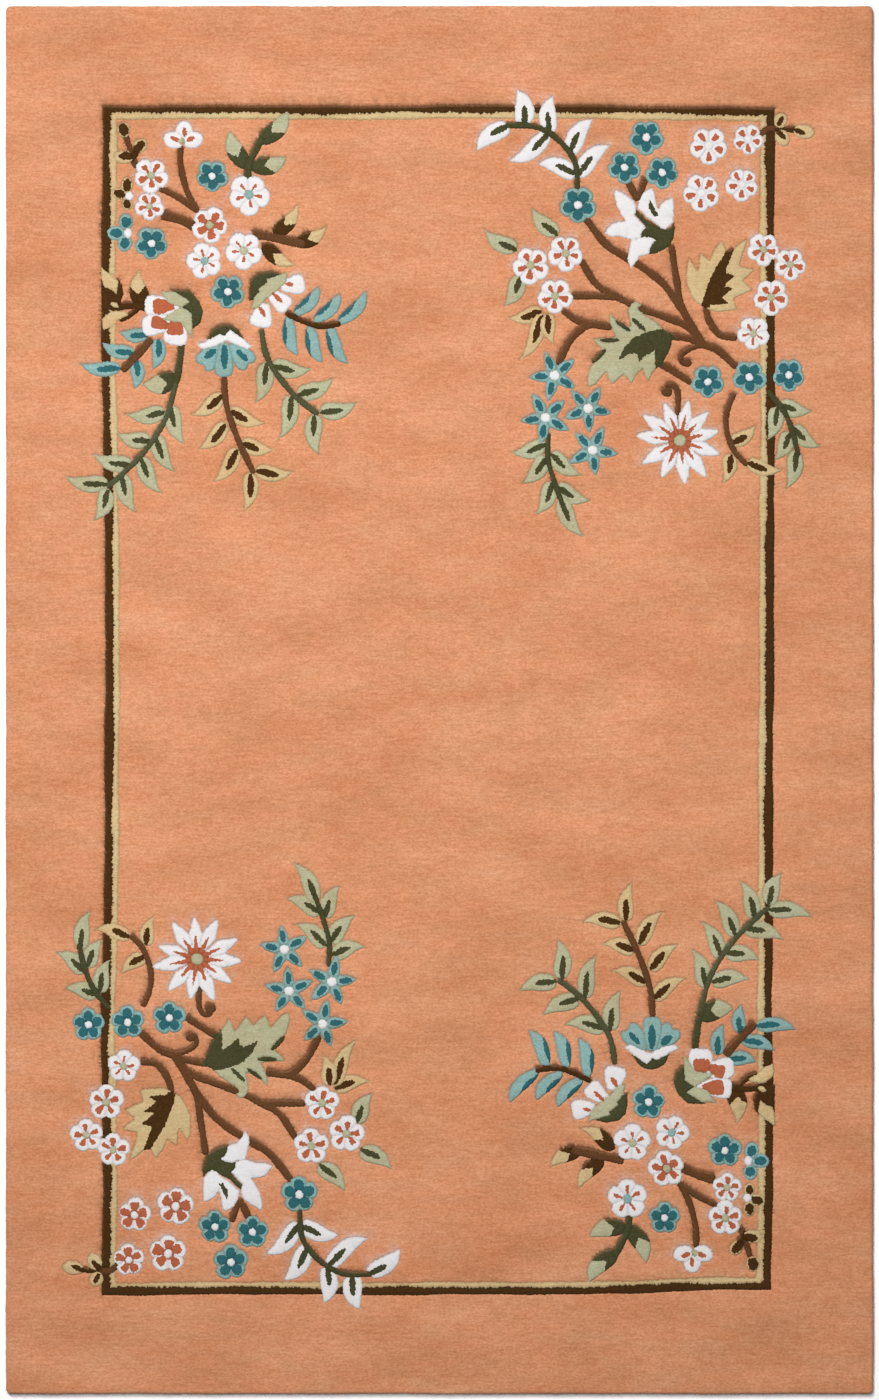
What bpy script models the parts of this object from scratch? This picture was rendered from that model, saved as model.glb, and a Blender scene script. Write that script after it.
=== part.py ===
"""A hand-knotted rug lying flat, as one closed solid.

The pile is carved: flowers, leaves, stems and the border line stand a little proud of the field,
and shallow cuts part the petals. The relief is in the points of the top face, so it is all one piece.
Tables are in millimetres. A corner spray is measured from the corner of the border line,
across toward the middle of the rug and down toward the middle of its length.
"""

import math
from collections import namedtuple

import bmesh
import bpy
import numpy as np
from mathutils import Vector
from mathutils.geometry import delaunay_2d_cdt

MM = 0.001

# Overall size, a five by eight foot rug
RUG_WIDTH = 1524.0
RUG_LENGTH = 2438.0
FIELD_HEIGHT = 12.0

# Carved relief
RELIEF_RISE = 2.0
RELIEF_SLOPE = 4.0
CUT_DEPTH = 1.2
CUT_HALF_WIDTH = 3.0

# Points closer than this are one, and no line is taken as shorter than this
WELD = 0.05
SHORTEST = 0.001

# Edge of the pile: each ring's inset from the outline and its height
RIM_RINGS = ((0.6, 0.0), (0.0, 3.0), (0.4, 8.5), (2.2, 11.0), (6.5, 12.0))
CORNER_RADIUS = 9.0
CORNER_STEPS = 3
SIDE_STEP = 76.0

# Slow drift of the long lines: its wave lengths, and its size and phases around the edge
WAVER_LENGTHS = (410.0, 230.0)
EDGE_WAVER = 0.9
RIGHT_PHASE = 0.7
LEFT_PHASE = 2.1
HEAD_PHASE = 1.3
FOOT_PHASE = 2.9

# Border line: the path of its middle, counterclockwise from the head's right corner. It bows and
# narrows by some millimetres, as the frame of a hand-knotted rug does.
BORDER_PATH = (
    (581, 1033), (430, 1034), (265, 1038), (-200, 1036), (-583, 1037),
    (-586, 800), (-585, 550), (-579, 250), (-580, -250), (-587, -600), (-583, -850), (-585, -1038),
    (-200, -1037), (0, -1038), (200, -1037), (330, -1035), (440, -1031), (575, -1029),
    (578, -850), (577, -500), (579, 0), (582, 640), (580, 850),
)
# A point of the path beyond these is on a side or on an end of the frame
BORDER_SIDE_X = 500.0
BORDER_END_Y = 1000.0
BORDER_OUTER = -7.4
BORDER_INNER = 18.2
BORDER_STEP = 165.0
BORDER_WAVER = 1.6
BORDER_PHASE = 0.4

# Points along a stem
STEM_STEP = 52.0

# A leaf's widest points: share of its length, share of its width, share of its bow
LEAF_STATIONS = ((0.22, 0.95, 0.32), (0.62, 0.74, 1.0))
LEAF_BOW = 0.09

# A blossom: half angle of a petal's round end, then notch, crown and start of a cut as radius shares
PETAL_COUNT = 5
PETAL_SHOULDER = 19.0
PETAL_NOTCH = 0.76
PETAL_CROWN = 0.64
CUT_START = 0.36

OVAL_STEPS = 8

# Sides of a bud's petal: share of its length, share of its width. Its crown is part of the way along.
BUD_PETAL_SIDES = ((0.0, 0.42), (0.6, 0.96), (0.95, 0.78))
BUD_PETAL_CROWN = 0.55

# A broad shape has a crown for every third point, this share of the way in to its middle
CROWN_EVERY = 3
CROWN_SHARE = 0.4

FIELD_COLOUR = (0.716, 0.301, 0.153, 1.0)
PILE_ROUGHNESS = 0.95

Blossom = namedtuple("Blossom", "across down width turn")
Star = namedtuple("Star", "across down width petals turn notch crowns")
Oval = namedtuple("Oval", "across down length width turn")
Petal = namedtuple("Petal", "across down length width turn")
Leaf = namedtuple("Leaf", "base_across base_down tip_across tip_down width bow", defaults=("down",))
Stem = namedtuple("Stem", "width points")
Spray = namedtuple("Spray", "corner direction turned_shift blossoms stars ovals petals leaves stems shapes")

# Round blossoms. A turn is the angle of the first petal in degrees.
BLOSSOMS_A = (
    Blossom(80, 118, 62, 270),
    Blossom(77, 172, 52, 268),
    Blossom(187, 119, 57, 270),
    Blossom(252, 152, 72, 274),
    Blossom(183, 205, 64, 280),
    Blossom(174, 268, 63, 250),
    Blossom(243, 250, 67, 268),
    Blossom(81, 237, 59, 268),
    Blossom(215, 322, 60, 265),
)

BLOSSOMS_B = (
    Blossom(107, 66, 66, 270),
    Blossom(38, 55, 55, 275),
    Blossom(120, 149, 67, 262),
    Blossom(48, 134, 59, 264),
    Blossom(217, 51, 62, 272),
    Blossom(255, 104, 58, 268),
    Blossom(189, 113, 58, 270),
    Blossom(337, 170, 65, 270),
    Blossom(11, 248, 58, 270),
    Blossom(-36, 274, 58, 276),
    Blossom(-2, 332, 64, 270),
    Blossom(29, 395, 58, 266),
    Blossom(420, 276, 66, 262),
    Blossom(358, 255, 64, 270),
    Blossom(377, 330, 62, 268),
    Blossom(109, 480, 58, 268),
    Blossom(36, 472, 59, 272),
    Blossom(-33, 468, 58, 270),
)

# Pointed flowers. The notch and the crowns of each petal are shares of the radius.
STARS_B = (
    Star(378, 469, 91, 5, 40, 0.42, (0.52,)),
    Star(394, 543, 93, 5, 43, 0.42, (0.52,)),
    Star(319, 527, 88, 5, 59, 0.42, (0.52,)),
    Star(311, 600, 90, 5, 63, 0.42, (0.52,)),
    Star(158, 583, 152, 11, 78, 0.64, (0.50, 0.77)),
)

# Oval petals and buds
OVALS_A = (
    # Small bud on the border line
    Oval(16, 345, 16, 8, 335),
    # Three-petalled flower at the top
    Oval(138, 40, 36, 31, 90),
    Oval(119, 56, 36, 29, 160),
    Oval(154, 56, 36, 29, 20),
    # Half flower at the left border
    Oval(36, 199, 28, 25, 90),
    Oval(19, 219, 32, 25, 0),
    Oval(34, 237, 30, 25, 70),
    Oval(40, 219, 17, 14, 90),
    # Smaller half flower over it
    Oval(38, 135, 27, 21, 90),
    Oval(25, 150, 28, 20, 165),
    Oval(38, 168, 24, 19, 90),
    Oval(42, 154, 15, 14, 0),
    # Round buds on the top left twig
    Oval(32, 38, 27, 23, 90),
    Oval(61, 66, 28, 23, 50),
    Oval(32, 86, 32, 24, 175),
)

OVALS_B = (
    # Curled ends of the twigs
    Oval(181, 497, 20, 18, 0),
    Oval(146, 446, 17, 16, 0),
    # Edges of the left jagged leaf
    Oval(258, 382, 32, 7, 325),
    Oval(281, 407, 34, 7, 0),
    Oval(300, 435, 34, 8, 45),
    # Buds of the corner twig
    Oval(-19, 21, 27, 24, 60),
    Oval(-22, 52, 30, 25, 300),
    Oval(-60, 41, 37, 25, 352),
)

# Petals of the large buds, from a narrow foot to a broad end
PETALS_A = (
    # Left bud
    Petal(130, 350, 61, 38, 176),
    Petal(125, 375, 61, 37, 188),
    Petal(128, 362, 54, 43, 263),
    # Middle fan
    Petal(202, 414, 52, 39, 230),
    Petal(219, 414, 52, 39, 313),
    Petal(209, 411, 60, 33, 269),
    # Right bud
    Petal(308, 313, 42, 36, 8),
    Petal(287, 322, 45, 34, 320),
    Petal(279, 342, 43, 40, 259),
)

# Leaves, each bowed downward unless it says up
LEAVES_A = (
    # Right and left bud twigs
    Leaf(335, 240, 388, 207, 28),
    Leaf(296, 225, 338, 168, 28),
    Leaf(274, 240, 334, 275, 28),
    Leaf(66, 352, 60, 284, 34),
    # Sprig to the right
    Leaf(331, 365, 375, 313, 25),
    Leaf(366, 376, 412, 325, 25),
    Leaf(408, 380, 458, 321, 25),
    Leaf(320, 364, 337, 434, 26),
    Leaf(357, 379, 381, 446, 26),
    Leaf(391, 380, 425, 448, 26),
    # Sprig on a thick stem
    Leaf(76, 398, 25, 392, 26),
    Leaf(52, 432, -6, 412, 26),
    Leaf(28, 457, -44, 448, 26),
    Leaf(55, 440, 50, 493, 26),
    Leaf(95, 404, 83, 458, 26),
    # Long sprig
    Leaf(128, 473, 66, 485, 36),
    Leaf(106, 534, 37, 536, 31),
    Leaf(113, 522, 140, 590, 31),
    Leaf(80, 585, 20, 570, 31),
    Leaf(85, 573, 123, 638, 31),
    Leaf(48, 628, -22, 606, 31),
    Leaf(60, 612, 100, 676, 31),
    Leaf(6, 661, -72, 645, 31),
    Leaf(27, 642, 55, 710, 31),
    Leaf(6, 668, -20, 724, 31),
    # Middle sprig
    Leaf(208, 503, 149, 538, 29),
    Leaf(216, 531, 280, 552, 29),
    Leaf(214, 553, 162, 598, 29),
    Leaf(238, 588, 296, 598, 29),
    Leaf(234, 597, 188, 656, 29),
    Leaf(262, 637, 330, 637, 29),
    Leaf(256, 638, 242, 708, 29),
    # Right sprig
    Leaf(284, 446, 262, 518, 32),
    Leaf(290, 452, 362, 457, 32),
    Leaf(328, 503, 305, 580, 32),
    Leaf(336, 505, 400, 473, 32),
    Leaf(366, 536, 376, 610, 32),
    Leaf(376, 535, 441, 516, 32),
    # Leaves at the top
    Leaf(249, 107, 219, 40, 32),
    Leaf(254, 106, 318, 86, 32),
    Leaf(271, 62, 320, 6, 32),
)

LEAVES_B = (
    # Sprig over the head of the border line
    Leaf(458, 28, 514, 74, 33, "up"),
    Leaf(429, 31, 443, -32, 35, "up"),
    Leaf(388, 44, 381, -21, 32, "up"),
    Leaf(385, 43, 457, 93, 31),
    Leaf(354, 80, 311, 19, 34, "up"),
    Leaf(338, 116, 406, 98, 32, "up"),
    Leaf(339, 119, 280, 65, 32, "up"),
    # Leaves around the left blossoms
    Leaf(372, 224, 417, 174, 32),
    Leaf(444, 250, 500, 213, 32),
    Leaf(436, 295, 467, 347, 32),
    # Leaves under the left blossoms
    Leaf(398, 356, 461, 367, 28),
    Leaf(398, 360, 440, 442, 28),
    Leaf(391, 360, 378, 415, 28),
    # Hanging sprig under the stars
    Leaf(392, 590, 453, 604, 31),
    Leaf(390, 612, 436, 658, 31),
    Leaf(386, 606, 330, 644, 31),
    Leaf(380, 655, 410, 712, 31),
    Leaf(376, 664, 314, 688, 31),
    Leaf(370, 684, 325, 752, 31),
    # Sprig beside the border line
    Leaf(68, 590, 25, 556, 27),
    Leaf(67, 606, 83, 658, 27),
    Leaf(42, 622, -22, 634, 27),
    # Sprig outside the border line
    Leaf(-16, 520, -75, 530, 30),
    Leaf(-14, 524, 5, 582, 30),
    Leaf(-38, 560, -90, 594, 30),
    Leaf(-36, 568, -8, 617, 30),
    Leaf(-48, 600, -28, 668, 30),
)

# Stems, with points as across and down
STEMS_A = (
    Stem(11, ((132, 66), (132, 100), (143, 145), (162, 182))),
    Stem(11, ((95, 140), (130, 158), (162, 180))),
    Stem(16, ((98, 186), (132, 196), (160, 209))),
    Stem(12, ((249, 124), (251, 100), (262, 76), (275, 52))),
    Stem(15, ((258, 220), (300, 228), (350, 239))),
    Stem(13, ((80, 352), (45, 346), (8, 350))),
    Stem(9, ((24, 372), (40, 365), (58, 350))),
    Stem(10, ((316, 358), (345, 373), (377, 382), (413, 378))),
    Stem(14, ((81, 404), (56, 432), (29, 461))),
    Stem(9, ((134, 412), (131, 450), (120, 497), (104, 548), (70, 600), (32, 640), (4, 664))),
    Stem(11, ((208, 470), (212, 520), (232, 580), (260, 640))),
    Stem(9, ((274, 388), (285, 440), (328, 500), (374, 537))),
    Stem(11, ((34, 44), (44, 74), (54, 104))),
    Stem(12, ((47, 88), (58, 70))),
    Stem(11, ((50, 92), (36, 85))),
)

STEMS_B = (
    Stem(13, ((327, 188), (286, 240), (235, 272), (191, 304), (161, 343), (137, 382), (117, 418))),
    Stem(13, ((119, 415), (92, 424), (58, 455))),
    Stem(12, ((332, 266), (304, 309), (265, 333), (225, 352), (186, 366), (147, 382), (125, 405))),
    Stem(11, ((348, 329), (304, 330), (268, 331))),
    Stem(12, ((364, 354), (337, 373), (304, 381), (278, 384))),
    Stem(12, ((178, 400), (145, 404), (118, 412))),
    Stem(12, ((372, 450), (350, 407), (319, 381), (280, 384))),
    Stem(12, ((196, 447), (171, 460), (138, 482))),
    Stem(9, ((104, 419), (124, 417), (144, 424), (156, 434), (155, 445), (147, 450))),
    Stem(10, ((338, 144), (341, 98), (359, 68), (386, 44), (418, 31), (464, 30))),
    Stem(12, ((173, 240), (164, 300), (154, 350), (128, 396), (112, 420))),
    Stem(12, ((250, 126), (232, 162))),
    Stem(12, ((218, 122), (232, 162))),
    Stem(12, ((112, 344), (110, 364), (100, 384), (85, 399), (58, 403))),
    Stem(10, ((162, 545), (161, 508), (164, 492), (174, 485), (184, 490))),
    Stem(9, ((388, 570), (390, 610), (380, 650), (364, 696))),
    Stem(10, ((62, 500), (75, 530), (76, 565), (62, 602), (40, 626))),
    Stem(10, ((4, 496), (-22, 528), (-38, 562), (-50, 610))),
    Stem(10, ((22, 50), (4, 36), (-18, 37), (-52, 39))),
)

# Broad shapes, each an outline of points as across and down
SHAPES_A = (
    # Buds on the border line
    ((-6, 300), (22, 300), (29, 309), (31, 326), (26, 342), (10, 354), (-7, 352)),
    ((-8, 279), (-2, 284), (14, 295), (23, 304), (19, 326), (9, 317), (-2, 314), (-7, 299)),
    ((-6, 370), (11, 356), (36, 356), (40, 363), (25, 370), (12, 383), (-4, 390)),
    # Left bud: rounded back, pointed cup
    ((116, 319), (147, 320), (164, 337), (171, 355), (167, 376), (152, 388), (136, 366), (132, 345)),
    (
        (96, 321), (121, 322), (148, 339), (134, 349), (151, 360), (154, 406), (141, 389), (132, 376),
        (100, 371), (118, 358), (133, 349), (111, 342)),
    # Middle fan: rounded back, pointed collar
    ((179, 406), (185, 391), (196, 383), (209, 379), (222, 381), (234, 389), (243, 405)),
    (
        (161, 415), (182, 406), (202, 396), (208, 400), (219, 389), (231, 398), (245, 407), (257, 418),
        (249, 423), (232, 416), (213, 408), (190, 418), (168, 423)),
    # Right bud: rounded back, pointed cup
    ((252, 338), (252, 318), (255, 302), (267, 290), (292, 286), (308, 291), (290, 310), (266, 334)),
    (
        (319, 288), (318, 304), (299, 322), (283, 334), (267, 351), (255, 352), (260, 334), (271, 322),
        (268, 318), (284, 305), (282, 300), (297, 296)),
)

SHAPES_B = (
    # Jagged leaf on the right
    (
        (119, 347), (129, 341), (138, 328), (146, 309), (147, 290), (145, 274), (141, 263), (136, 270),
        (127, 286), (124, 278), (124, 266), (122, 255), (114, 260), (105, 267), (99, 251), (86, 233),
        (80, 241), (76, 250), (63, 247), (51, 236), (40, 230), (42, 240), (47, 253), (52, 270), (52, 279),
        (39, 281), (27, 284), (38, 294), (48, 302), (38, 311), (31, 319), (48, 326), (63, 333), (61, 341),
        (58, 353), (74, 355), (91, 357), (104, 355)),
    # Jagged leaf on the left
    (
        (172, 402), (184, 390), (201, 374), (219, 363), (232, 350), (226, 345), (234, 338), (242, 343),
        (249, 354), (247, 367), (243, 384), (252, 382), (268, 373), (281, 360), (281, 376), (276, 389),
        (270, 401), (280, 403), (296, 404), (312, 404), (305, 413), (295, 423), (288, 428), (302, 438),
        (315, 455), (321, 477), (318, 489), (308, 486), (293, 468), (286, 462), (284, 473), (277, 484),
        (268, 477), (256, 466), (251, 473), (243, 482), (236, 470), (223, 456), (220, 468), (213, 480),
        (208, 468), (200, 457), (188, 446), (179, 430), (173, 415)),
    # Lily: calyx with one long arm, then its petals in three groups
    (
        (239, 184), (235, 178), (224, 187), (216, 196), (202, 203), (191, 210), (183, 213), (175, 209),
        (168, 200), (167, 212), (169, 227), (175, 240), (189, 249), (200, 254), (213, 256), (212, 236),
        (227, 227), (226, 216), (217, 209), (224, 200)),
    (
        (270, 142), (273, 151), (269, 172), (261, 186), (253, 198), (267, 199), (278, 203), (285, 211),
        (290, 220), (279, 225), (263, 225), (247, 230), (240, 231), (226, 227), (225, 216), (217, 209),
        (224, 202), (237, 187), (234, 172), (238, 163), (252, 152)),
    (
        (232, 177), (232, 170), (230, 163), (220, 146), (208, 140), (202, 145), (200, 161), (196, 177),
        (191, 168), (181, 160), (169, 157), (168, 184), (169, 200), (183, 213), (191, 210), (202, 201),
        (214, 193), (226, 181)),
    (
        (226, 228), (243, 231), (246, 243), (249, 260), (249, 270), (243, 281), (237, 272), (228, 260),
        (213, 256), (212, 250), (207, 238), (200, 232), (206, 228), (218, 226)),
)

# The two sprays that are drawn. Each is laid once more by a half turn, which lands a little shifted.
SPRAYS = (
    Spray(
        (-586.0, 1038.0), 1, (-4.0, 10.0), BLOSSOMS_A, (), OVALS_A, PETALS_A, LEAVES_A, STEMS_A, SHAPES_A),
    Spray(
        (580.0, 1038.0), -1, (-3.0, 0.0), BLOSSOMS_B, STARS_B, OVALS_B, (), LEAVES_B, STEMS_B, SHAPES_B),
)


def waver(along, phase, size):
    """A slow sideways drift, so that no long line is ruled."""
    drift = sum(
        math.sin(2 * math.pi * along / length + phase * (index + 1))
        for index, length in enumerate(WAVER_LENGTHS)
    )
    return size * drift / len(WAVER_LENGTHS)


def rectangle_path(half_x, half_y, step, radius, corner_steps):
    """Points around a round-cornered rectangle, counterclockwise."""
    points = []
    sides = (
        (half_x, -half_y, 90, half_y),
        (half_x, half_y, 180, half_x),
        (-half_x, half_y, 270, half_y),
        (-half_x, -half_y, 0, half_x),
    )
    for corner_x, corner_y, heading, half_side in sides:
        centre_x = corner_x - math.copysign(radius, corner_x)
        centre_y = corner_y - math.copysign(radius, corner_y)
        first = heading - 180
        for corner_step in range(corner_steps + 1):
            angle = math.radians(first + 90 * corner_step / corner_steps)
            points.append((centre_x + radius * math.cos(angle), centre_y + radius * math.sin(angle)))
        run = 2 * (half_side - radius)
        count = max(1, round(run / step))
        angle = math.radians(heading)
        start_x, start_y = points[-1]
        for piece in range(1, count):
            reach = run * piece / count
            points.append((start_x + reach * math.cos(angle), start_y + reach * math.sin(angle)))
    return points


def rug_edge():
    """The rug's outline in plan, drifting a little and scaled to its exact size."""
    points = []
    for x, y in rectangle_path(RUG_WIDTH / 2, RUG_LENGTH / 2, SIDE_STEP, CORNER_RADIUS, CORNER_STEPS):
        drift_x = waver(y, RIGHT_PHASE if x > 0 else LEFT_PHASE, EDGE_WAVER)
        drift_y = waver(x, HEAD_PHASE if y > 0 else FOOT_PHASE, EDGE_WAVER)
        points.append((x + drift_x, y + drift_y))
    outline = np.array(points)
    low, high = outline.min(axis=0), outline.max(axis=0)
    return (outline - (low + high) / 2) * (RUG_WIDTH, RUG_LENGTH) / (high - low)


def border_loop(inset):
    """A closed line inside the border line's middle by the inset, with a slow drift."""
    corners = []
    for x, y in BORDER_PATH:
        if abs(x) > BORDER_SIDE_X:
            x -= math.copysign(1, x) * inset
        if abs(y) > BORDER_END_Y:
            y -= math.copysign(1, y) * inset
        corners.append(Vector((x, y)))
    loop = []
    for start, end in zip(corners, corners[1:] + corners[:1]):
        count = max(1, round((end - start).length / BORDER_STEP))
        upright = abs(end.y - start.y) > abs(end.x - start.x)
        for step in range(count):
            point = start.lerp(end, step / count)
            if upright:
                loop.append((point.x + waver(point.y, BORDER_PHASE, BORDER_WAVER), point.y))
            else:
                loop.append((point.x, point.y + waver(point.x, BORDER_PHASE, BORDER_WAVER)))
    return loop


def leaf_form(base, tip, width, bow):
    """A slim leaf from base to tip that bows to one side."""
    along = tip - base
    across = Vector((-along.y, along.x)).normalized()
    facing = across.y if bow == "down" else -across.y
    sag = -across * math.copysign(LEAF_BOW * along.length, facing)
    middle = [base + along * share + sag * bowed for share, _, bowed in LEAF_STATIONS]
    half = [across * width / 2 * fullness for _, fullness, _ in LEAF_STATIONS]
    left = [point + reach for point, reach in zip(middle, half)]
    right = [point - reach for point, reach in zip(middle, half)]
    return [base, *right, tip, *left[::-1]], middle, ()


def polar(centre, radius, angle):
    """The point at a distance and an angle in degrees from a centre."""
    radians = math.radians(angle)
    return centre + Vector((radius * math.cos(radians), radius * math.sin(radians)))


def blossom_form(centre, width, turn):
    """Round petals side by side, parted by cuts."""
    radius = width / 2
    outline, crown, cuts = [], [centre], []
    for petal in range(PETAL_COUNT):
        middle = turn + petal * 360 / PETAL_COUNT
        between = middle + 180 / PETAL_COUNT
        outline.append(polar(centre, radius, middle - PETAL_SHOULDER))
        outline.append(polar(centre, radius, middle + PETAL_SHOULDER))
        outline.append(polar(centre, radius * PETAL_NOTCH, between))
        crown.append(polar(centre, radius * PETAL_CROWN, middle))
        cuts.append((polar(centre, radius * CUT_START, between), outline[-1]))
    return outline, crown, cuts


def star_form(centre, width, petals, turn, notch, crowns):
    """Pointed petals around a centre, parted by cuts."""
    radius = width / 2
    outline, crown, cuts = [], [centre], []
    for petal in range(petals):
        middle = turn + petal * 360 / petals
        between = middle + 180 / petals
        outline.append(polar(centre, radius, middle))
        outline.append(polar(centre, radius * notch, between))
        crown += [polar(centre, radius * share, middle) for share in crowns]
        cuts.append((polar(centre, radius * CUT_START * notch, between), outline[-1]))
    return outline, crown, cuts


def oval_form(centre, length, width, turn):
    """An oval petal or bud whose long axis is turned by an angle in degrees."""
    cos, sin = math.cos(math.radians(turn)), math.sin(math.radians(turn))
    outline = []
    for step in range(OVAL_STEPS):
        around = 2 * math.pi * step / OVAL_STEPS
        x, y = math.cos(around) * length / 2, math.sin(around) * width / 2
        outline.append(centre + Vector((x * cos - y * sin, x * sin + y * cos)))
    return outline, [centre], ()


def petal_form(foot, length, width, turn):
    """A petal that widens from a narrow foot to a broad end."""
    along = polar(Vector((0, 0)), length, turn)
    across = polar(Vector((0, 0)), width / 2, turn + 90)
    right = [foot + along * reach - across * side for reach, side in BUD_PETAL_SIDES]
    left = [foot + along * reach + across * side for reach, side in BUD_PETAL_SIDES]
    return right + left[::-1], [foot + along * BUD_PETAL_CROWN], ()


def curve_through(points):
    """A smooth path through a few points: between two, a cubic steered by the next on each side."""
    ends = [points[0], *points, points[-1]]
    path = []
    for before, start, end, after in zip(ends, ends[1:], ends[2:], ends[3:]):
        count = max(1, round((end - start).length / STEM_STEP))
        for step in range(count):
            t = step / count
            first = (end - before) * t
            second = (2 * before - 5 * start + 4 * end - after) * t ** 2
            third = (3 * start - before - 3 * end + after) * t ** 3
            path.append(start + (first + second + third) / 2)
    path.append(points[-1])
    return path


def stem_form(points, width):
    """A band of even width along a smooth path."""
    path = curve_through(points)
    left, right = [], []
    for index, point in enumerate(path):
        before = path[max(index - 1, 0)]
        after = path[min(index + 1, len(path) - 1)]
        heading = (after - before).normalized()
        side = Vector((-heading.y, heading.x)) * width / 2
        left.append(point + side)
        right.append(point - side)
    return left + right[::-1], path[1:-1], ()


def shape_form(outline):
    """A broad shape, with crowns part of the way in to its middle."""
    middle = sum(outline, Vector((0, 0))) / len(outline)
    return outline, [point.lerp(middle, CROWN_SHARE) for point in outline[::CROWN_EVERY]], ()


def spray_forms(spray):
    """Every form of a spray in the rug's coordinates: its outline, its crowns and its cuts."""
    def at(across, down):
        return Vector((spray.corner[0] + spray.direction * across, spray.corner[1] - down))

    forms = [stem_form([at(*point) for point in stem.points], stem.width) for stem in spray.stems]
    for leaf in spray.leaves:
        base, tip = at(leaf.base_across, leaf.base_down), at(leaf.tip_across, leaf.tip_down)
        forms.append(leaf_form(base, tip, leaf.width, leaf.bow))
    for petal in spray.petals:
        forms.append(petal_form(at(petal.across, petal.down), *petal[2:]))
    for shape in spray.shapes:
        forms.append(shape_form([at(*point) for point in shape]))
    for oval in spray.ovals:
        forms.append(oval_form(at(oval.across, oval.down), *oval[2:]))
    for star in spray.stars:
        forms.append(star_form(at(star.across, star.down), *star[2:]))
    for blossom in spray.blossoms:
        forms.append(blossom_form(at(blossom.across, blossom.down), *blossom[2:]))
    return forms


class Relief:
    """Every raised outline, every crown and every cut of all four sprays."""

    def __init__(self):
        self.outlines = []
        self.crowns = []
        self.cuts = []
        for spray in SPRAYS:
            forms = spray_forms(spray)
            shift = Vector(spray.turned_shift)
            self.add(forms, lambda point: point)
            self.add(forms, lambda point: shift - point)

    def add(self, forms, place):
        for outline, crowns, cuts in forms:
            self.outlines.append([tuple(place(point)) for point in outline])
            self.crowns += [tuple(place(point)) for point in crowns]
            self.cuts += [(tuple(place(start)), tuple(place(end))) for start, end in cuts]


def segment_distance(points, start, end):
    """Distance from each point to one line segment."""
    start, end = np.asarray(start), np.asarray(end)
    along = end - start
    share = np.clip(((points - start) @ along) / max(along @ along, SHORTEST ** 2), 0, 1)
    return np.linalg.norm(points - start - share[:, None] * along, axis=1)


def loop_distance(points, outline):
    """Distance from each point to the nearest side of a closed outline."""
    corners = np.asarray(outline, float)
    nearest = np.full(len(points), np.inf)
    for start, end in zip(corners, np.roll(corners, -1, axis=0)):
        nearest = np.minimum(nearest, segment_distance(points, start, end))
    return nearest


def is_inside(points, outline):
    """Which points lie inside a closed outline."""
    corners = np.asarray(outline, float)
    inside = np.zeros(len(points), bool)
    for start, end in zip(corners, np.roll(corners, -1, axis=0)):
        if start[1] == end[1]:
            continue
        spans = (start[1] > points[:, 1]) != (end[1] > points[:, 1])
        slope = (end[0] - start[0]) / (end[1] - start[1])
        crossing = start[0] + (points[:, 1] - start[1]) * slope
        inside ^= spans & (points[:, 0] < crossing)
    return inside


def relief_height(points, relief, border_outer, border_inner):
    """Height of the top face at each point. No cut goes deeper than the field."""
    between = is_inside(points, border_outer) & ~is_inside(points, border_inner)
    from_edges = np.minimum(loop_distance(points, border_outer), loop_distance(points, border_inner))
    depth = np.where(between, from_edges, 0.0)
    for outline in relief.outlines:
        corners = np.asarray(outline, float)
        low, high = corners.min(axis=0), corners.max(axis=0)
        near = np.where(((points >= low) & (points <= high)).all(axis=1))[0]
        held = near[is_inside(points[near], outline)]
        depth[held] = np.maximum(depth[held], loop_distance(points[held], outline))
    height = FIELD_HEIGHT + RELIEF_RISE * np.clip(depth / RELIEF_SLOPE, 0, 1)
    for start, end in relief.cuts:
        away = segment_distance(points, start, end)
        height -= CUT_DEPTH * np.clip(1 - away / CUT_HALF_WIDTH, 0, 1)
    return np.maximum(height, FIELD_HEIGHT)


def close_loop(edges, first, count):
    edges += [(first + index, first + (index + 1) % count) for index in range(count)]


def inner_triangles(points, edges, rim_count, weld):
    """Triangles inside the loop made by the first points, cut along the edges."""
    found = delaunay_2d_cdt(points, edges, [list(range(rim_count))], 0, weld, True)
    vertices, _, faces, origins, _, covers = found
    return vertices, [tuple(face) for face, cover in zip(faces, covers) if cover], origins


def triangulated_top(rim, border_loops, relief):
    """Points and triangles of the top face, cut along every outline."""
    points, edges = list(rim), []
    close_loop(edges, 0, len(rim))
    for loop in [*border_loops, *relief.outlines]:
        close_loop(edges, len(points), len(loop))
        points += loop
    for start, end in relief.cuts:
        edges.append((len(points), len(points) + 1))
        points += [start, end]
    points += relief.crowns
    flat = [Vector(point) * MM for point in points]
    vertices, triangles, origins = inner_triangles(flat, edges, len(rim), WELD * MM)
    return np.array([tuple(vertex) for vertex in vertices]) / MM, triangles, origins


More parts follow.
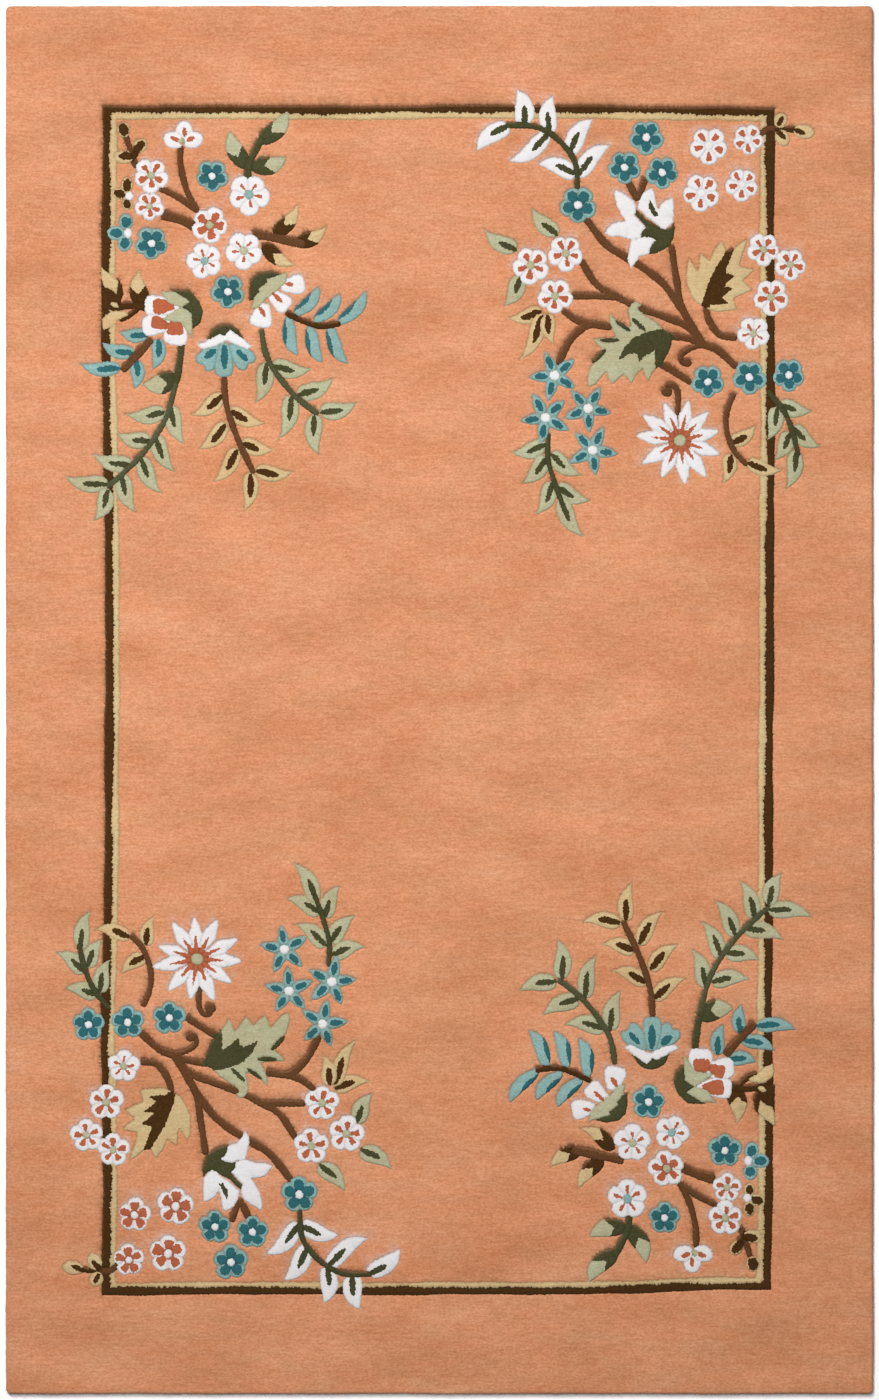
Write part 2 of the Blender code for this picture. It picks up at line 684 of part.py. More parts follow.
def make_rug():
    outline = rug_edge()
    mesh = bmesh.new()
    rings = []
    for inset, height in RIM_RINGS:
        ring = [
            (x * (1 - 2 * inset / RUG_WIDTH), y * (1 - 2 * inset / RUG_LENGTH), height)
            for x, y in outline
        ]
        rings.append(ring)
    lower = [[mesh.verts.new(Vector(point) * MM) for point in ring] for ring in rings[:-1]]

    relief = Relief()
    insets = (BORDER_OUTER, BORDER_OUTER + RELIEF_SLOPE, BORDER_INNER - RELIEF_SLOPE, BORDER_INNER)
    border_loops = [border_loop(inset) for inset in insets]
    rim = [point[:2] for point in rings[-1]]
    top_points, top_faces, sources = triangulated_top(rim, border_loops, relief)
    heights = relief_height(top_points, relief, border_loops[0], border_loops[-1])
    rim_of = {}
    for vertex, origins in enumerate(sources):
        for origin in origins:
            if origin < len(outline):
                rim_of[origin] = vertex
    top = [mesh.verts.new((x * MM, y * MM, z * MM)) for (x, y), z in zip(top_points, heights)]
    for face in top_faces:
        mesh.faces.new([top[index] for index in face])
    rings_of_vertices = [*lower, [top[rim_of[index]] for index in range(len(outline))]]

    count = len(outline)
    for below, above in zip(rings_of_vertices, rings_of_vertices[1:]):
        for index in range(count):
            after = (index + 1) % count
            mesh.faces.new((below[index], below[after], above[after], above[index]))
    flat = [Vector(point[:2]) * MM for point in rings[0]]
    _, underside, origins = inner_triangles(flat, [], count, 0.0)
    for face in underside:
        mesh.faces.new([rings_of_vertices[0][origins[index][0]] for index in reversed(face)])

    for face in mesh.faces:
        face.smooth = True
    for index in range(count):
        edge = mesh.edges.get((rings_of_vertices[0][index], rings_of_vertices[0][(index + 1) % count]))
        edge.smooth = False

    data = bpy.data.meshes.new("rug")
    mesh.to_mesh(data)
    mesh.free()
    rug = bpy.data.objects.new("rug", data)
    bpy.context.scene.collection.objects.link(rug)
    return rug


def make_material(name, colour, roughness, metallic):
    material = bpy.data.materials.new(name)
    material.use_nodes = True
    shader = material.node_tree.nodes["Principled BSDF"]
    shader.inputs["Base Color"].default_value = colour
    shader.inputs["Roughness"].default_value = roughness
    shader.inputs["Metallic"].default_value = metallic
    material.diffuse_color = colour
    return material


for old in list(bpy.data.objects):
    bpy.data.objects.remove(old)

rug = make_rug()
rug.data.materials.append(make_material("wool_pile", FIELD_COLOUR, PILE_ROUGHNESS, 0.0))
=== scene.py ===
# %% [markdown]
# A hand-knotted wool rug, laid flat and seen from straight above. Its pile is carved: every flower, leaf
# and stem stands a little proud of the field, with a cut groove around it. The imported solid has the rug's
# size and its main relief. This file dresses it. Millions of hair strands would be slow, and a flat picture
# of the design would have no relief, so the pile is a mesh with real height: one piece for each yarn
# colour, all cut from a single triangulated top face, so that the colours meet without gaps.

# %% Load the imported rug
import math
import random
from collections import namedtuple

import bpy
import numpy as np
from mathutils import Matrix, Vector, kdtree
from mathutils.geometry import delaunay_2d_cdt


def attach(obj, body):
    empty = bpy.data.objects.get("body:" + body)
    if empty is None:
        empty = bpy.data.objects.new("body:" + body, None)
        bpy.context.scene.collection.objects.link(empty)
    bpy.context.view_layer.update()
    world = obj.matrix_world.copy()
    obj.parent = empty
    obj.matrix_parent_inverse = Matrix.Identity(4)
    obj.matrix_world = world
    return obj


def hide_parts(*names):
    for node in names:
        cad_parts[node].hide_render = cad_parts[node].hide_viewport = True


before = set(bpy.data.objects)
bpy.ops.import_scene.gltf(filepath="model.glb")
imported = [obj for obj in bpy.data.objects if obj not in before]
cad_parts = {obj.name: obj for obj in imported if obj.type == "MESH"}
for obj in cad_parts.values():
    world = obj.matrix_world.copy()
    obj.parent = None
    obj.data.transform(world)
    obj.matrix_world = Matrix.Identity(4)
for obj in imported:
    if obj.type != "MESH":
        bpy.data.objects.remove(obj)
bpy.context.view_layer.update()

# %% [markdown]
# Rugs are drawn on a plan in millimetres, so the tables here are in millimetres too, and become metres
# only where a mesh is made. The rug is five feet by eight. Its pile is clipped to 12 mm over a thin
# woven foundation, and the carver leaves the motifs about 2 mm higher than the field.

# %% Sizes of the rug
MM = 0.001
RUG_WIDTH = 1524.0
RUG_LENGTH = 2438.0
FIELD_HEIGHT = 12.0
FOUNDATION_HEIGHT = 2.6
RELIEF_RISE = 1.9
GROOVE_DEPTH = 1.0
KNOT = 2.6

CORNER_A = (-586.0, 1038.0)
CORNER_B = (580.0, 1038.0)
TURNED_A_SHIFT = (-4.0, 10.0)
TURNED_B_SHIFT = (-3.0, 0.0)

chance = random.Random(5)
print("rug", RUG_WIDTH, "by", RUG_LENGTH, "mm, field", FIELD_HEIGHT, "mm high")

# %% [markdown]
# The dyer keeps a small set of yarns, and every knot is one of them. Each colour is written as the sRGB
# hex that a colour card would give, and one function turns it to the linear values that the renderer
# works in. The values are those of the yarn itself, a little deeper than they look under a strong light.

# %% Yarn colours
YARNS = {
    "field": "#BE815D",
    "dark_brown": "#3E260B",
    "stem_brown": "#57381F",
    "tan": "#B9A176",
    "sage": "#A19F80",
    "olive": "#3D3D24",
    "white": "#CFCCCC",
    "rust": "#A15639",
    "teal": "#27595E",
    "aqua": "#7B9A95",
}
COTTON = "#DAD0BA"
FLOOR = "#FAFAFA"


def linear(hex_colour):
    """An sRGB hex colour as linear red, green, blue and alpha."""
    channels = [int(hex_colour[place:place + 2], 16) / 255 for place in (1, 3, 5)]
    return (*[c / 12.92 if c <= 0.04045 else ((c + 0.055) / 1.055) ** 2.4 for c in channels], 1.0)


print(len(YARNS), "yarns")

# %% [markdown]
# A knotter works from a cartoon: a plan of where each motif goes. Here that plan is a few short tables.
# Two corner sprays are drawn. Each row gives a place as millimetres across from the corner of the border
# toward the middle of the rug, and down toward the middle of its length. The other two corners are the
# same sprays after a half turn, as the weaver would turn the cartoon around.

# %% Flowers
Blossom = namedtuple("Blossom", "across down width turn kind eye")

BLOSSOMS_A = (
    Blossom(80, 118, 62, 270, "rust", "sage"),
    Blossom(77, 172, 52, 268, "rust", "sage"),
    Blossom(187, 119, 57, 270, "teal", "white"),
    Blossom(252, 152, 72, 274, "thin", "aqua"),
    Blossom(183, 205, 64, 280, "bold", "sage"),
    Blossom(174, 268, 63, 250, "thin", "aqua"),
    Blossom(243, 250, 67, 268, "thin", "sage"),
    Blossom(81, 237, 59, 268, "teal", "white"),
    Blossom(215, 322, 60, 265, "teal", "white"),
)
BLOSSOMS_B = (
    Blossom(107, 66, 66, 270, "open", "white"),
    Blossom(38, 55, 55, 275, "open", "white"),
    Blossom(120, 149, 67, 262, "open", "white"),
    Blossom(48, 134, 59, 264, "open", "white"),
    Blossom(217, 51, 62, 272, "teal", "white"),
    Blossom(255, 104, 58, 268, "teal", "white"),
    Blossom(189, 113, 58, 270, "teal", "white"),
    Blossom(337, 170, 65, 270, "teal", "white"),
    Blossom(11, 248, 58, 270, "rust", "sage"),
    Blossom(-36, 274, 58, 276, "rust", "sage"),
    Blossom(-2, 332, 64, 270, "rust", "sage"),
    Blossom(29, 395, 58, 266, "thin", "sage"),
    Blossom(420, 276, 66, 262, "rust", "sage"),
    Blossom(358, 255, 64, 270, "rust", "sage"),
    Blossom(377, 330, 62, 268, "rust", "sage"),
    Blossom(109, 480, 58, 268, "teal", "white"),
    Blossom(36, 472, 59, 272, "teal", "white"),
    Blossom(-33, 468, 58, 270, "teal", "white"),
)

Star = namedtuple("Star", "across down width petals turn kind")

STARS_B = (
    Star(378, 469, 91, 5, 40, "aqua"),
    Star(394, 543, 93, 5, 43, "aqua"),
    Star(319, 527, 88, 5, 59, "aqua"),
    Star(311, 600, 90, 5, 63, "aqua"),
    Star(158, 583, 152, 11, 78, "daisy"),
)
print(len(BLOSSOMS_A) + len(BLOSSOMS_B), "blossoms and", len(STARS_B), "pointed flowers on the cartoon")

# %% [markdown]
# Single petals, round buds and the small colour marks on them are ovals, and the petals of the large buds
# are broader at their ends. A proud one is carved around. A flush one is only a change of yarn within the
# petal that it lies on, with no groove.

# %% Ovals and single petals
Oval = namedtuple("Oval", "across down length width turn yarn level")

OVALS_A = (
    # Small bud on the border line
    Oval(16, 345, 16, 8, 335, "tan", "proud"),
    # Three-petalled flower at the top
    Oval(138, 40, 36, 31, 90, "white", "proud"),
    Oval(119, 56, 36, 29, 160, "white", "proud"),
    Oval(154, 56, 36, 29, 20, "white", "proud"),
    Oval(139, 42, 17, 8, 90, "rust", "flush"),
    Oval(122, 54, 17, 8, 160, "rust", "flush"),
    Oval(150, 54, 17, 8, 20, "rust", "flush"),
    Oval(134, 58, 13, 12, 0, "sage", "flush"),
    # Half flower in teal at the left border
    Oval(36, 199, 28, 25, 90, "aqua", "proud"),
    Oval(19, 219, 32, 25, 0, "aqua", "proud"),
    Oval(34, 237, 30, 25, 70, "aqua", "proud"),
    Oval(37, 200, 17, 18, 90, "teal", "flush"),
    Oval(19, 219, 22, 15, 0, "teal", "flush"),
    Oval(34, 237, 19, 16, 70, "teal", "flush"),
    Oval(40, 219, 17, 14, 90, "white", "proud"),
    # Half flower in dark brown at the left border
    Oval(38, 135, 27, 21, 90, "tan", "proud"),
    Oval(25, 150, 28, 20, 165, "tan", "proud"),
    Oval(38, 168, 24, 19, 90, "tan", "proud"),
    Oval(38, 135, 21, 15, 90, "dark_brown", "flush"),
    Oval(25, 150, 22, 14, 165, "dark_brown", "flush"),
    Oval(38, 168, 17, 13, 90, "dark_brown", "flush"),
    Oval(42, 154, 15, 14, 0, "white", "proud"),
    # Round buds on the top left twig
    Oval(32, 38, 27, 23, 90, "tan", "proud"),
    Oval(61, 66, 28, 23, 50, "tan", "proud"),
    Oval(32, 86, 32, 24, 175, "tan", "proud"),
    Oval(32, 38, 22, 18, 100, "dark_brown", "flush"),
    Oval(58, 69, 29, 15, 48, "dark_brown", "flush"),
    Oval(37, 84, 28, 14, 178, "dark_brown", "flush"),
    # Marks on the petals of the middle fan
    Oval(184, 431, 24, 12, 217, "teal", "flush"),
    Oval(240, 434, 28, 10, 315, "teal", "flush"),
    Oval(209, 436, 44, 13, 270, "teal", "flush"),
    # Marks on the petals of the right bud
    Oval(323, 309, 14, 7, 350, "rust", "flush"),
    Oval(302, 333, 25, 7, 318, "rust", "flush"),
    Oval(275, 357, 21, 8, 302, "rust", "flush"),
)
OVALS_B = (
    # Curled ends of the twigs
    Oval(181, 497, 20, 18, 0, "stem_brown", "proud"),
    Oval(146, 446, 17, 16, 0, "stem_brown", "proud"),
    # Olive edges of the left jagged leaf
    Oval(230, 380, 33, 8, 318, "olive", "flush"),
    Oval(258, 382, 32, 7, 325, "olive", "proud"),
    Oval(281, 407, 34, 7, 0, "olive", "proud"),
    Oval(300, 435, 34, 8, 45, "olive", "proud"),
    # Buds of the corner twig
    Oval(-19, 21, 27, 24, 60, "tan", "proud"),
    Oval(-22, 52, 30, 25, 300, "tan", "proud"),
    Oval(-60, 41, 37, 25, 352, "tan", "proud"),
    Oval(-18, 23, 20, 9, 60, "dark_brown", "flush"),
    Oval(-18, 45, 26, 10, 318, "dark_brown", "flush"),
    Oval(-51, 41, 24, 9, 338, "dark_brown", "flush"),
)

# A petal widens from a narrow foot to a broad end. The notch is its depth as a share of the length.
Petal = namedtuple("Petal", "across down length width turn yarn level notch", defaults=(0.0,))

PETALS_A = (
    # Left bud, and the rust marks on it
    Petal(130, 350, 61, 38, 176, "white", "proud"),
    Petal(125, 375, 61, 37, 188, "white", "proud"),
    Petal(128, 362, 54, 43, 263, "white", "proud"),
    Petal(121, 346, 38, 28, 184, "rust", "flush"),
    Petal(111, 383, 31, 23, 161, "rust", "flush"),
    Petal(122, 371, 27, 31, 272, "rust", "flush"),
    # Middle fan
    Petal(202, 414, 52, 39, 230, "aqua", "proud", 0.10),
    Petal(219, 414, 52, 39, 313, "aqua", "proud", 0.10),
    Petal(209, 411, 60, 33, 269, "aqua", "proud"),
    # Right bud
    Petal(308, 313, 42, 36, 8, "white", "proud"),
    Petal(287, 322, 45, 34, 320, "white", "proud"),
    Petal(279, 342, 43, 40, 259, "white", "proud"),
)
print(len(OVALS_A) + len(OVALS_B) + len(PETALS_A), "single petals, buds and marks")

# %% [markdown]
# Every leaf is one slim form, drawn from its base to its tip. What differs is the yarn and how the
# second colour lies in it: a vein down the middle, a dark base under a paler tip, or a strip on one side.

# %% Leaves
Leaf = namedtuple("Leaf", "base_across base_down tip_across tip_down width kind bow", defaults=("down",))

# The taper at the base and at the tip: the lower it is, the blunter the end
LeafKind = namedtuple("LeafKind", "yarn mark form base_taper tip_taper")

LEAF_KINDS = {
    "sage": LeafKind("sage", "olive", "vein", 0.55, 1.15),
    "tan": LeafKind("tan", "dark_brown", "broad_vein", 0.55, 1.15),
    "bud": LeafKind("tan", "dark_brown", "base", 0.55, 1.05),
    "aqua": LeafKind("aqua", "teal", "broad_vein", 0.55, 0.95),
    "aqua_strip": LeafKind("aqua", "teal", "strip", 0.62, 0.72),
    "white": LeafKind("white", "olive", "vein", 0.42, 0.78),
    "sage_tip": LeafKind("sage", "olive", "base", 0.55, 0.80),
}

LEAVES_A = (
    # Right and left bud twigs
    Leaf(335, 240, 388, 207, 28, "bud"),
    Leaf(296, 225, 338, 168, 28, "bud"),
    Leaf(274, 240, 334, 275, 28, "bud"),
    Leaf(66, 352, 60, 284, 34, "bud"),
    # Sprig with leaves edged in teal
    Leaf(331, 365, 375, 313, 24, "aqua_strip"),
    Leaf(366, 376, 412, 325, 24, "aqua_strip"),
    Leaf(408, 380, 458, 321, 24, "aqua_strip"),
    Leaf(320, 364, 337, 434, 25, "aqua_strip"),
    Leaf(357, 379, 381, 446, 25, "aqua_strip"),
    Leaf(391, 380, 425, 448, 25, "aqua_strip"),
    # Sprig on a thick brown stem
    Leaf(76, 398, 25, 392, 26, "aqua"),
    Leaf(52, 432, -6, 412, 26, "aqua"),
    Leaf(28, 457, -44, 448, 26, "aqua"),
    Leaf(55, 440, 50, 493, 26, "aqua"),
    Leaf(95, 404, 83, 458, 26, "aqua"),
    # Long sage sprig
    Leaf(128, 473, 66, 485, 36, "sage_tip"),
    Leaf(106, 534, 37, 536, 31, "sage"),
    Leaf(113, 522, 140, 590, 31, "sage"),
    Leaf(80, 585, 20, 570, 31, "sage"),
    Leaf(85, 573, 123, 638, 31, "sage"),
    Leaf(48, 628, -22, 606, 31, "sage"),
    Leaf(60, 612, 100, 676, 31, "sage"),
    Leaf(6, 661, -72, 645, 31, "sage"),
    Leaf(27, 642, 55, 710, 31, "sage"),
    Leaf(6, 668, -20, 724, 31, "sage"),
    # Tan sprig
    Leaf(208, 503, 149, 538, 29, "tan"),
    Leaf(216, 531, 280, 552, 29, "tan"),
    Leaf(214, 553, 162, 598, 29, "tan"),
    Leaf(238, 588, 296, 598, 29, "tan"),
    Leaf(234, 597, 188, 656, 29, "tan"),
    Leaf(262, 637, 330, 637, 29, "tan"),
    Leaf(256, 638, 242, 708, 29, "tan"),
    # Right sage sprig
    Leaf(284, 446, 262, 518, 32, "sage"),
    Leaf(290, 452, 362, 457, 32, "sage"),
    Leaf(328, 503, 305, 580, 32, "sage"),
    Leaf(336, 505, 400, 473, 32, "sage"),
    Leaf(366, 536, 376, 610, 32, "sage"),
    Leaf(376, 535, 441, 516, 32, "sage"),
    # Two-toned leaves at the top
    Leaf(249, 107, 219, 40, 32, "sage_tip"),
    Leaf(254, 106, 318, 86, 32, "sage_tip"),
    Leaf(271, 62, 320, 6, 32, "sage_tip"),
)
LEAVES_B = (
    # White-leaved sprig
    Leaf(458, 28, 514, 74, 33, "white", "up"),
    Leaf(429, 31, 443, -32, 35, "white", "up"),
    Leaf(388, 44, 381, -21, 32, "white", "up"),
    Leaf(385, 43, 457, 93, 31, "white"),
    Leaf(354, 80, 311, 19, 34, "white", "up"),
    Leaf(338, 116, 406, 98, 32, "white", "up"),
    Leaf(339, 119, 280, 65, 32, "white", "up"),
    # Sage leaves around the left blossoms
    Leaf(372, 224, 417, 174, 32, "sage"),
    Leaf(444, 250, 500, 213, 32, "sage"),
    Leaf(436, 295, 467, 347, 32, "sage"),
    # Tan leaves under the left blossoms
    Leaf(398, 356, 461, 367, 28, "tan"),
    Leaf(398, 360, 440, 442, 28, "tan"),
    Leaf(391, 360, 378, 415, 28, "tan"),
    # Hanging sage sprig under the stars
    Leaf(392, 590, 453, 604, 31, "sage"),
    Leaf(390, 612, 436, 658, 31, "sage"),
    Leaf(386, 606, 330, 644, 31, "sage"),
    Leaf(380, 655, 410, 712, 31, "sage"),
    Leaf(376, 664, 314, 688, 31, "sage"),
    Leaf(370, 684, 325, 752, 31, "sage"),
    # Tan sprig beside the border
    Leaf(68, 590, 25, 556, 27, "tan"),
    Leaf(67, 606, 83, 658, 27, "tan"),
    Leaf(42, 622, -22, 634, 27, "tan"),
    # Sage sprig outside the border
    Leaf(-16, 520, -75, 530, 30, "sage"),
    Leaf(-14, 524, 5, 582, 30, "sage"),
    Leaf(-38, 560, -90, 594, 30, "sage"),
    Leaf(-36, 568, -8, 617, 30, "sage"),
    Leaf(-48, 600, -28, 668, 30, "sage"),
)
print(len(LEAVES_A) + len(LEAVES_B), "leaves")

# %% [markdown]
# Stems are bands along a path of a few points, a little uneven in width. Shapes that no formula gives are
# short outlines of their own: the two jagged leaves, the lily, the cups and collar of the large buds, and
# the buds on the border line.

# %% Stems and broad shapes
# heather: the share of sage spun into the yarn
Stem = namedtuple("Stem", "yarn width points heather", defaults=(0.0,))

STEMS_A = (
    Stem("stem_brown", 11, ((132, 66), (132, 100), (143, 145), (162, 182))),
    Stem("stem_brown", 11, ((95, 140), (130, 158), (162, 180))),
    Stem("stem_brown", 16, ((98, 186), (132, 196), (160, 209))),
    Stem("olive", 12, ((249, 124), (251, 100), (262, 76), (275, 52))),
    Stem("stem_brown", 15, ((258, 220), (300, 228), (350, 239))),
    Stem("dark_brown", 13, ((80, 352), (45, 346), (8, 350))),
    Stem("dark_brown", 9, ((24, 372), (40, 365), (58, 350))),
    Stem("dark_brown", 10, ((316, 358), (345, 373), (377, 382), (413, 378))),
    Stem("stem_brown", 14, ((81, 404), (56, 432), (29, 461))),
    Stem("olive", 9, ((134, 412), (131, 450), (120, 497), (104, 548), (70, 600), (32, 640), (4, 664)), 0.06),
    Stem("olive", 12, ((134, 408), (131, 440), (124, 482))),
    Stem("stem_brown", 11, ((208, 470), (212, 520), (232, 580), (260, 640))),
    Stem("olive", 10, ((274, 388), (285, 440), (328, 500), (374, 537)), 0.05),
    Stem("stem_brown", 11, ((34, 44), (44, 74), (54, 104))),
    Stem("dark_brown", 12, ((47, 88), (58, 70))),
    Stem("dark_brown", 11, ((50, 92), (36, 85))),
)
STEMS_B = (
    Stem("stem_brown", 13, (
        (327, 188), (286, 240), (235, 272), (191, 304), (161, 343), (137, 382), (117, 418))),
    Stem("stem_brown", 13, ((119, 415), (92, 424), (58, 455))),
    Stem("stem_brown", 12, (
        (332, 266), (304, 309), (265, 333), (225, 352), (186, 366), (147, 382), (125, 405))),
    Stem("stem_brown", 11, ((348, 329), (304, 330), (268, 331))),
    Stem("stem_brown", 12, ((364, 354), (337, 373), (304, 381), (278, 384))),
    Stem("stem_brown", 12, ((178, 400), (145, 404), (118, 412))),
    Stem("stem_brown", 12, ((372, 450), (350, 407), (319, 381), (280, 384))),
    Stem("stem_brown", 12, ((196, 447), (171, 460), (138, 482))),
    Stem("stem_brown", 9, ((104, 419), (124, 417), (144, 424), (156, 434), (155, 445), (147, 450))),
    Stem("olive", 10, ((338, 144), (341, 98), (359, 68), (386, 44), (418, 31), (464, 30))),
    Stem("stem_brown", 12, ((173, 240), (164, 300), (154, 350), (128, 396), (112, 420))),
    Stem("stem_brown", 12, ((250, 126), (232, 162))),
    Stem("stem_brown", 12, ((218, 122), (232, 162))),
    Stem("stem_brown", 12, ((112, 344), (110, 364), (100, 384), (85, 399), (58, 403))),
    Stem("stem_brown", 10, ((162, 545), (161, 508), (164, 492), (174, 485), (184, 490))),
    Stem("olive", 9, ((388, 570), (390, 610), (380, 650), (364, 696))),
    Stem("stem_brown", 10, ((62, 500), (75, 530), (76, 565), (62, 602), (40, 626))),
    Stem("olive", 10, ((4, 496), (-22, 528), (-38, 562), (-50, 610))),
    Stem("stem_brown", 10, ((22, 50), (4, 36), (-18, 37), (-30, 37))),
    Stem("dark_brown", 9, ((-14, 37), (-34, 37), (-52, 39))),
)

Shape = namedtuple("Shape", "yarn level outline")

SHAPES_A = (
    # Buds on the border line
    Shape("dark_brown", "proud", (
        (-6, 300), (22, 300), (29, 309), (31, 326), (26, 342), (10, 354), (-7, 352))),
    Shape("tan", "proud", (
        (-8, 279), (-2, 284), (14, 295), (23, 304), (19, 326), (9, 317), (-2, 314), (-7, 299))),
    Shape("tan", "proud", ((-6, 370), (11, 356), (36, 356), (40, 363), (25, 370), (12, 383), (-4, 390))),
    # Left bud: pointed cup, rounded back
    Shape("olive", "proud", (
        (116, 319), (147, 320), (164, 337), (171, 355), (167, 376), (152, 388), (136, 366), (132, 345))),
    Shape("sage", "proud", (
        (96, 321), (121, 322), (148, 339), (134, 349), (151, 360), (154, 406), (141, 389), (132, 376),
        (100, 371), (118, 358), (133, 349), (111, 342))),
    # Middle fan: rounded back, pointed collar
    Shape("olive", "proud", (
        (179, 406), (185, 391), (196, 383), (209, 379), (222, 381), (234, 389), (243, 405))),
    Shape("white", "proud", (
        (161, 415), (182, 406), (202, 396), (208, 400), (219, 389), (231, 398), (245, 407), (257, 418),
        (249, 423), (232, 416), (213, 408), (190, 418), (168, 423))),
    # Right bud: rounded back, pointed cup
    Shape("olive", "proud", (
        (252, 338), (252, 318), (255, 302), (267, 290), (292, 286), (308, 291), (290, 310), (266, 334))),
    Shape("sage", "proud", (
        (319, 288), (318, 304), (299, 322), (283, 334), (267, 351), (255, 352), (260, 334), (271, 322),
        (268, 318), (284, 305), (282, 300), (297, 296))),
)
SHAPES_B = (
    # Jagged leaf in tan, with a dark heart
    Shape("tan", "proud", (
        (119, 347), (129, 341), (138, 328), (146, 309), (147, 290), (145, 274), (141, 263), (136, 270),
        (127, 286), (124, 278), (124, 266), (122, 255), (114, 260), (105, 267), (99, 251), (86, 233),
        (80, 241), (76, 250), (63, 247), (51, 236), (40, 230), (42, 240), (47, 253), (52, 270), (52, 279),
        (39, 281), (27, 284), (38, 294), (48, 302), (38, 311), (31, 319), (48, 326), (63, 333), (61, 341),
        (58, 353), (74, 355), (91, 357), (104, 355))),
    Shape("dark_brown", "flush", (
        (63, 246), (71, 245), (78, 253), (87, 268), (101, 290), (109, 309), (117, 333), (121, 350),
        (105, 350), (106, 345), (89, 344), (73, 342), (85, 333), (77, 325), (64, 315), (82, 314),
        (74, 304), (61, 294), (78, 289), (74, 274), (67, 258))),
    # Jagged leaf in sage, with an olive heart and olive edges to its upper lobes
    Shape("sage", "proud", (
        (172, 402), (176, 394), (184, 390), (201, 374), (219, 363), (229, 356), (232, 350), (226, 345),
        (234, 338), (242, 343), (249, 354), (247, 367), (243, 384), (252, 382), (268, 373), (281, 360),
        (281, 376), (276, 389),
        (270, 401), (280, 403), (296, 404), (312, 404), (305, 413), (295, 423), (288, 428), (302, 438),
        (315, 455), (321, 477), (318, 489), (308, 486), (293, 468), (286, 462), (284, 473), (277, 484),
        (268, 477), (256, 466), (251, 473), (243, 482), (236, 470), (223, 456), (220, 468), (213, 480),
        (208, 468), (200, 457), (188, 446), (179, 430), (173, 415))),
    Shape("olive", "flush", (
        (266, 441), (254, 418), (237, 402), (219, 394), (201, 390), (186, 387), (168, 393), (168, 413),
        (175, 431), (186, 449), (200, 460), (202, 442), (202, 424), (217, 433), (230, 445), (233, 433),
        (238, 429), (250, 433))),
    # Lily: calyx with one long arm, then its petals in three groups
    Shape("olive", "proud", (
        (239, 184), (235, 178), (224, 187), (216, 196), (202, 203), (191, 210), (183, 213), (175, 209),
        (168, 200), (167, 212), (169, 227), (175, 240), (189, 249), (200, 254), (213, 256), (212, 236),
        (227, 227), (226, 216), (217, 209), (224, 200))),
    Shape("white", "proud", (
        (270, 142), (273, 151), (269, 172), (261, 186), (253, 198), (267, 199), (278, 203), (285, 211),
        (290, 220), (279, 225), (263, 225), (247, 230), (240, 231), (226, 227), (225, 216), (217, 209),
        (224, 202), (237, 187), (234, 172), (238, 163), (252, 152))),
    Shape("white", "proud", (
        (232, 177), (232, 170), (230, 163), (220, 146), (208, 140), (202, 145), (200, 161), (196, 177),
        (191, 168), (181, 160), (169, 157), (168, 184), (169, 200), (183, 213), (191, 210), (202, 201),
        (214, 193), (226, 181))),
    Shape("white", "proud", (
        (226, 228), (243, 231), (246, 243), (249, 260), (249, 270), (243, 281), (237, 272), (228, 260),
        (213, 256), (212, 250), (207, 238), (200, 232), (206, 228), (218, 226))),
    Shape("olive", "flush", ((211, 160), (213, 176), (203, 191), (196, 189), (204, 173))),
)
print(len(STEMS_A) + len(STEMS_B), "stems and", len(SHAPES_A) + len(SHAPES_B), "broad shapes")

# %% [markdown]
# Each motif is drawn by formula, as a closed outline. A petal is a wedge of a circle with a round end, a
# leaf is a band whose width swells and then runs out to a point, and a stem is a curve through its points
# with a little unevenness, because no hand knots a perfectly even line.

# %% Outlines of petals and ovals
def polar(centre, radius, angle):
    """The point at a distance and an angle in degrees from a centre."""
    radians = math.radians(angle)
    return (centre[0] + radius * math.cos(radians), centre[1] + radius * math.sin(radians))


def oval_outline(centre, length, width, turn, steps=20):
    """An oval whose long axis is turned by an angle in degrees."""
    cos, sin = math.cos(math.radians(turn)), math.sin(math.radians(turn))
    outline = []
    for step in range(steps):
        around = 2 * math.pi * step / steps
        x, y = math.cos(around) * length / 2, math.sin(around) * width / 2
        outline.append((centre[0] + x * cos - y * sin, centre[1] + x * sin + y * cos))
    return outline


def petal_outline(centre, radius, middle, spread, notch, roundness):
    """A wedge from the centre with a round end: full at its middle and cut back to the notch at its sides."""
    outline = [centre]
    half_steps = 6
    for step in range(-half_steps, half_steps + 1):
        share = step / half_steps
        reach = radius * (1 - (1 - notch) * abs(share) ** roundness)
        outline.append(polar(centre, reach, middle + spread * share))
    return outline


# Sides of a bud's petal: share of its length, share of its width
BUD_PETAL_SIDES = ((0.0, 0.42), (0.3, 0.72), (0.6, 0.95), (0.8, 1.0), (0.94, 0.82), (1.0, 0.48))


def bud_petal_outline(foot, petal):
    """A petal that widens from a narrow foot to a broad end, with or without a notch in that end."""
    along = Vector(polar((0, 0), petal.length, petal.turn))
    across = Vector(polar((0, 0), petal.width / 2, petal.turn + 90))
    right = [foot + along * share - across * side for share, side in BUD_PETAL_SIDES]
    left = [foot + along * share + across * side for share, side in BUD_PETAL_SIDES]
    return [*right, foot + along * (1 - petal.notch), *left[::-1]]


print("an oval has", len(oval_outline((0, 0), 2, 1, 0)), "points")

# %% [markdown]
# A leaf is not straight: its middle line bows to one side, most of all near the tip, which gives the
# small hook that a weaver draws. The bow is a share of the leaf's length. The second colour inside a leaf
# follows the same bowed line, so that vein and edge stay in step.

# %% Outlines of leaves
LEAF_BOW = 0.09
LEAF_HOOK = 1.8
# A vein keeps nearly its full width to its ends: the lower these are, the blunter it is
VEIN_END = 0.03
VEIN_TAPER = 0.45
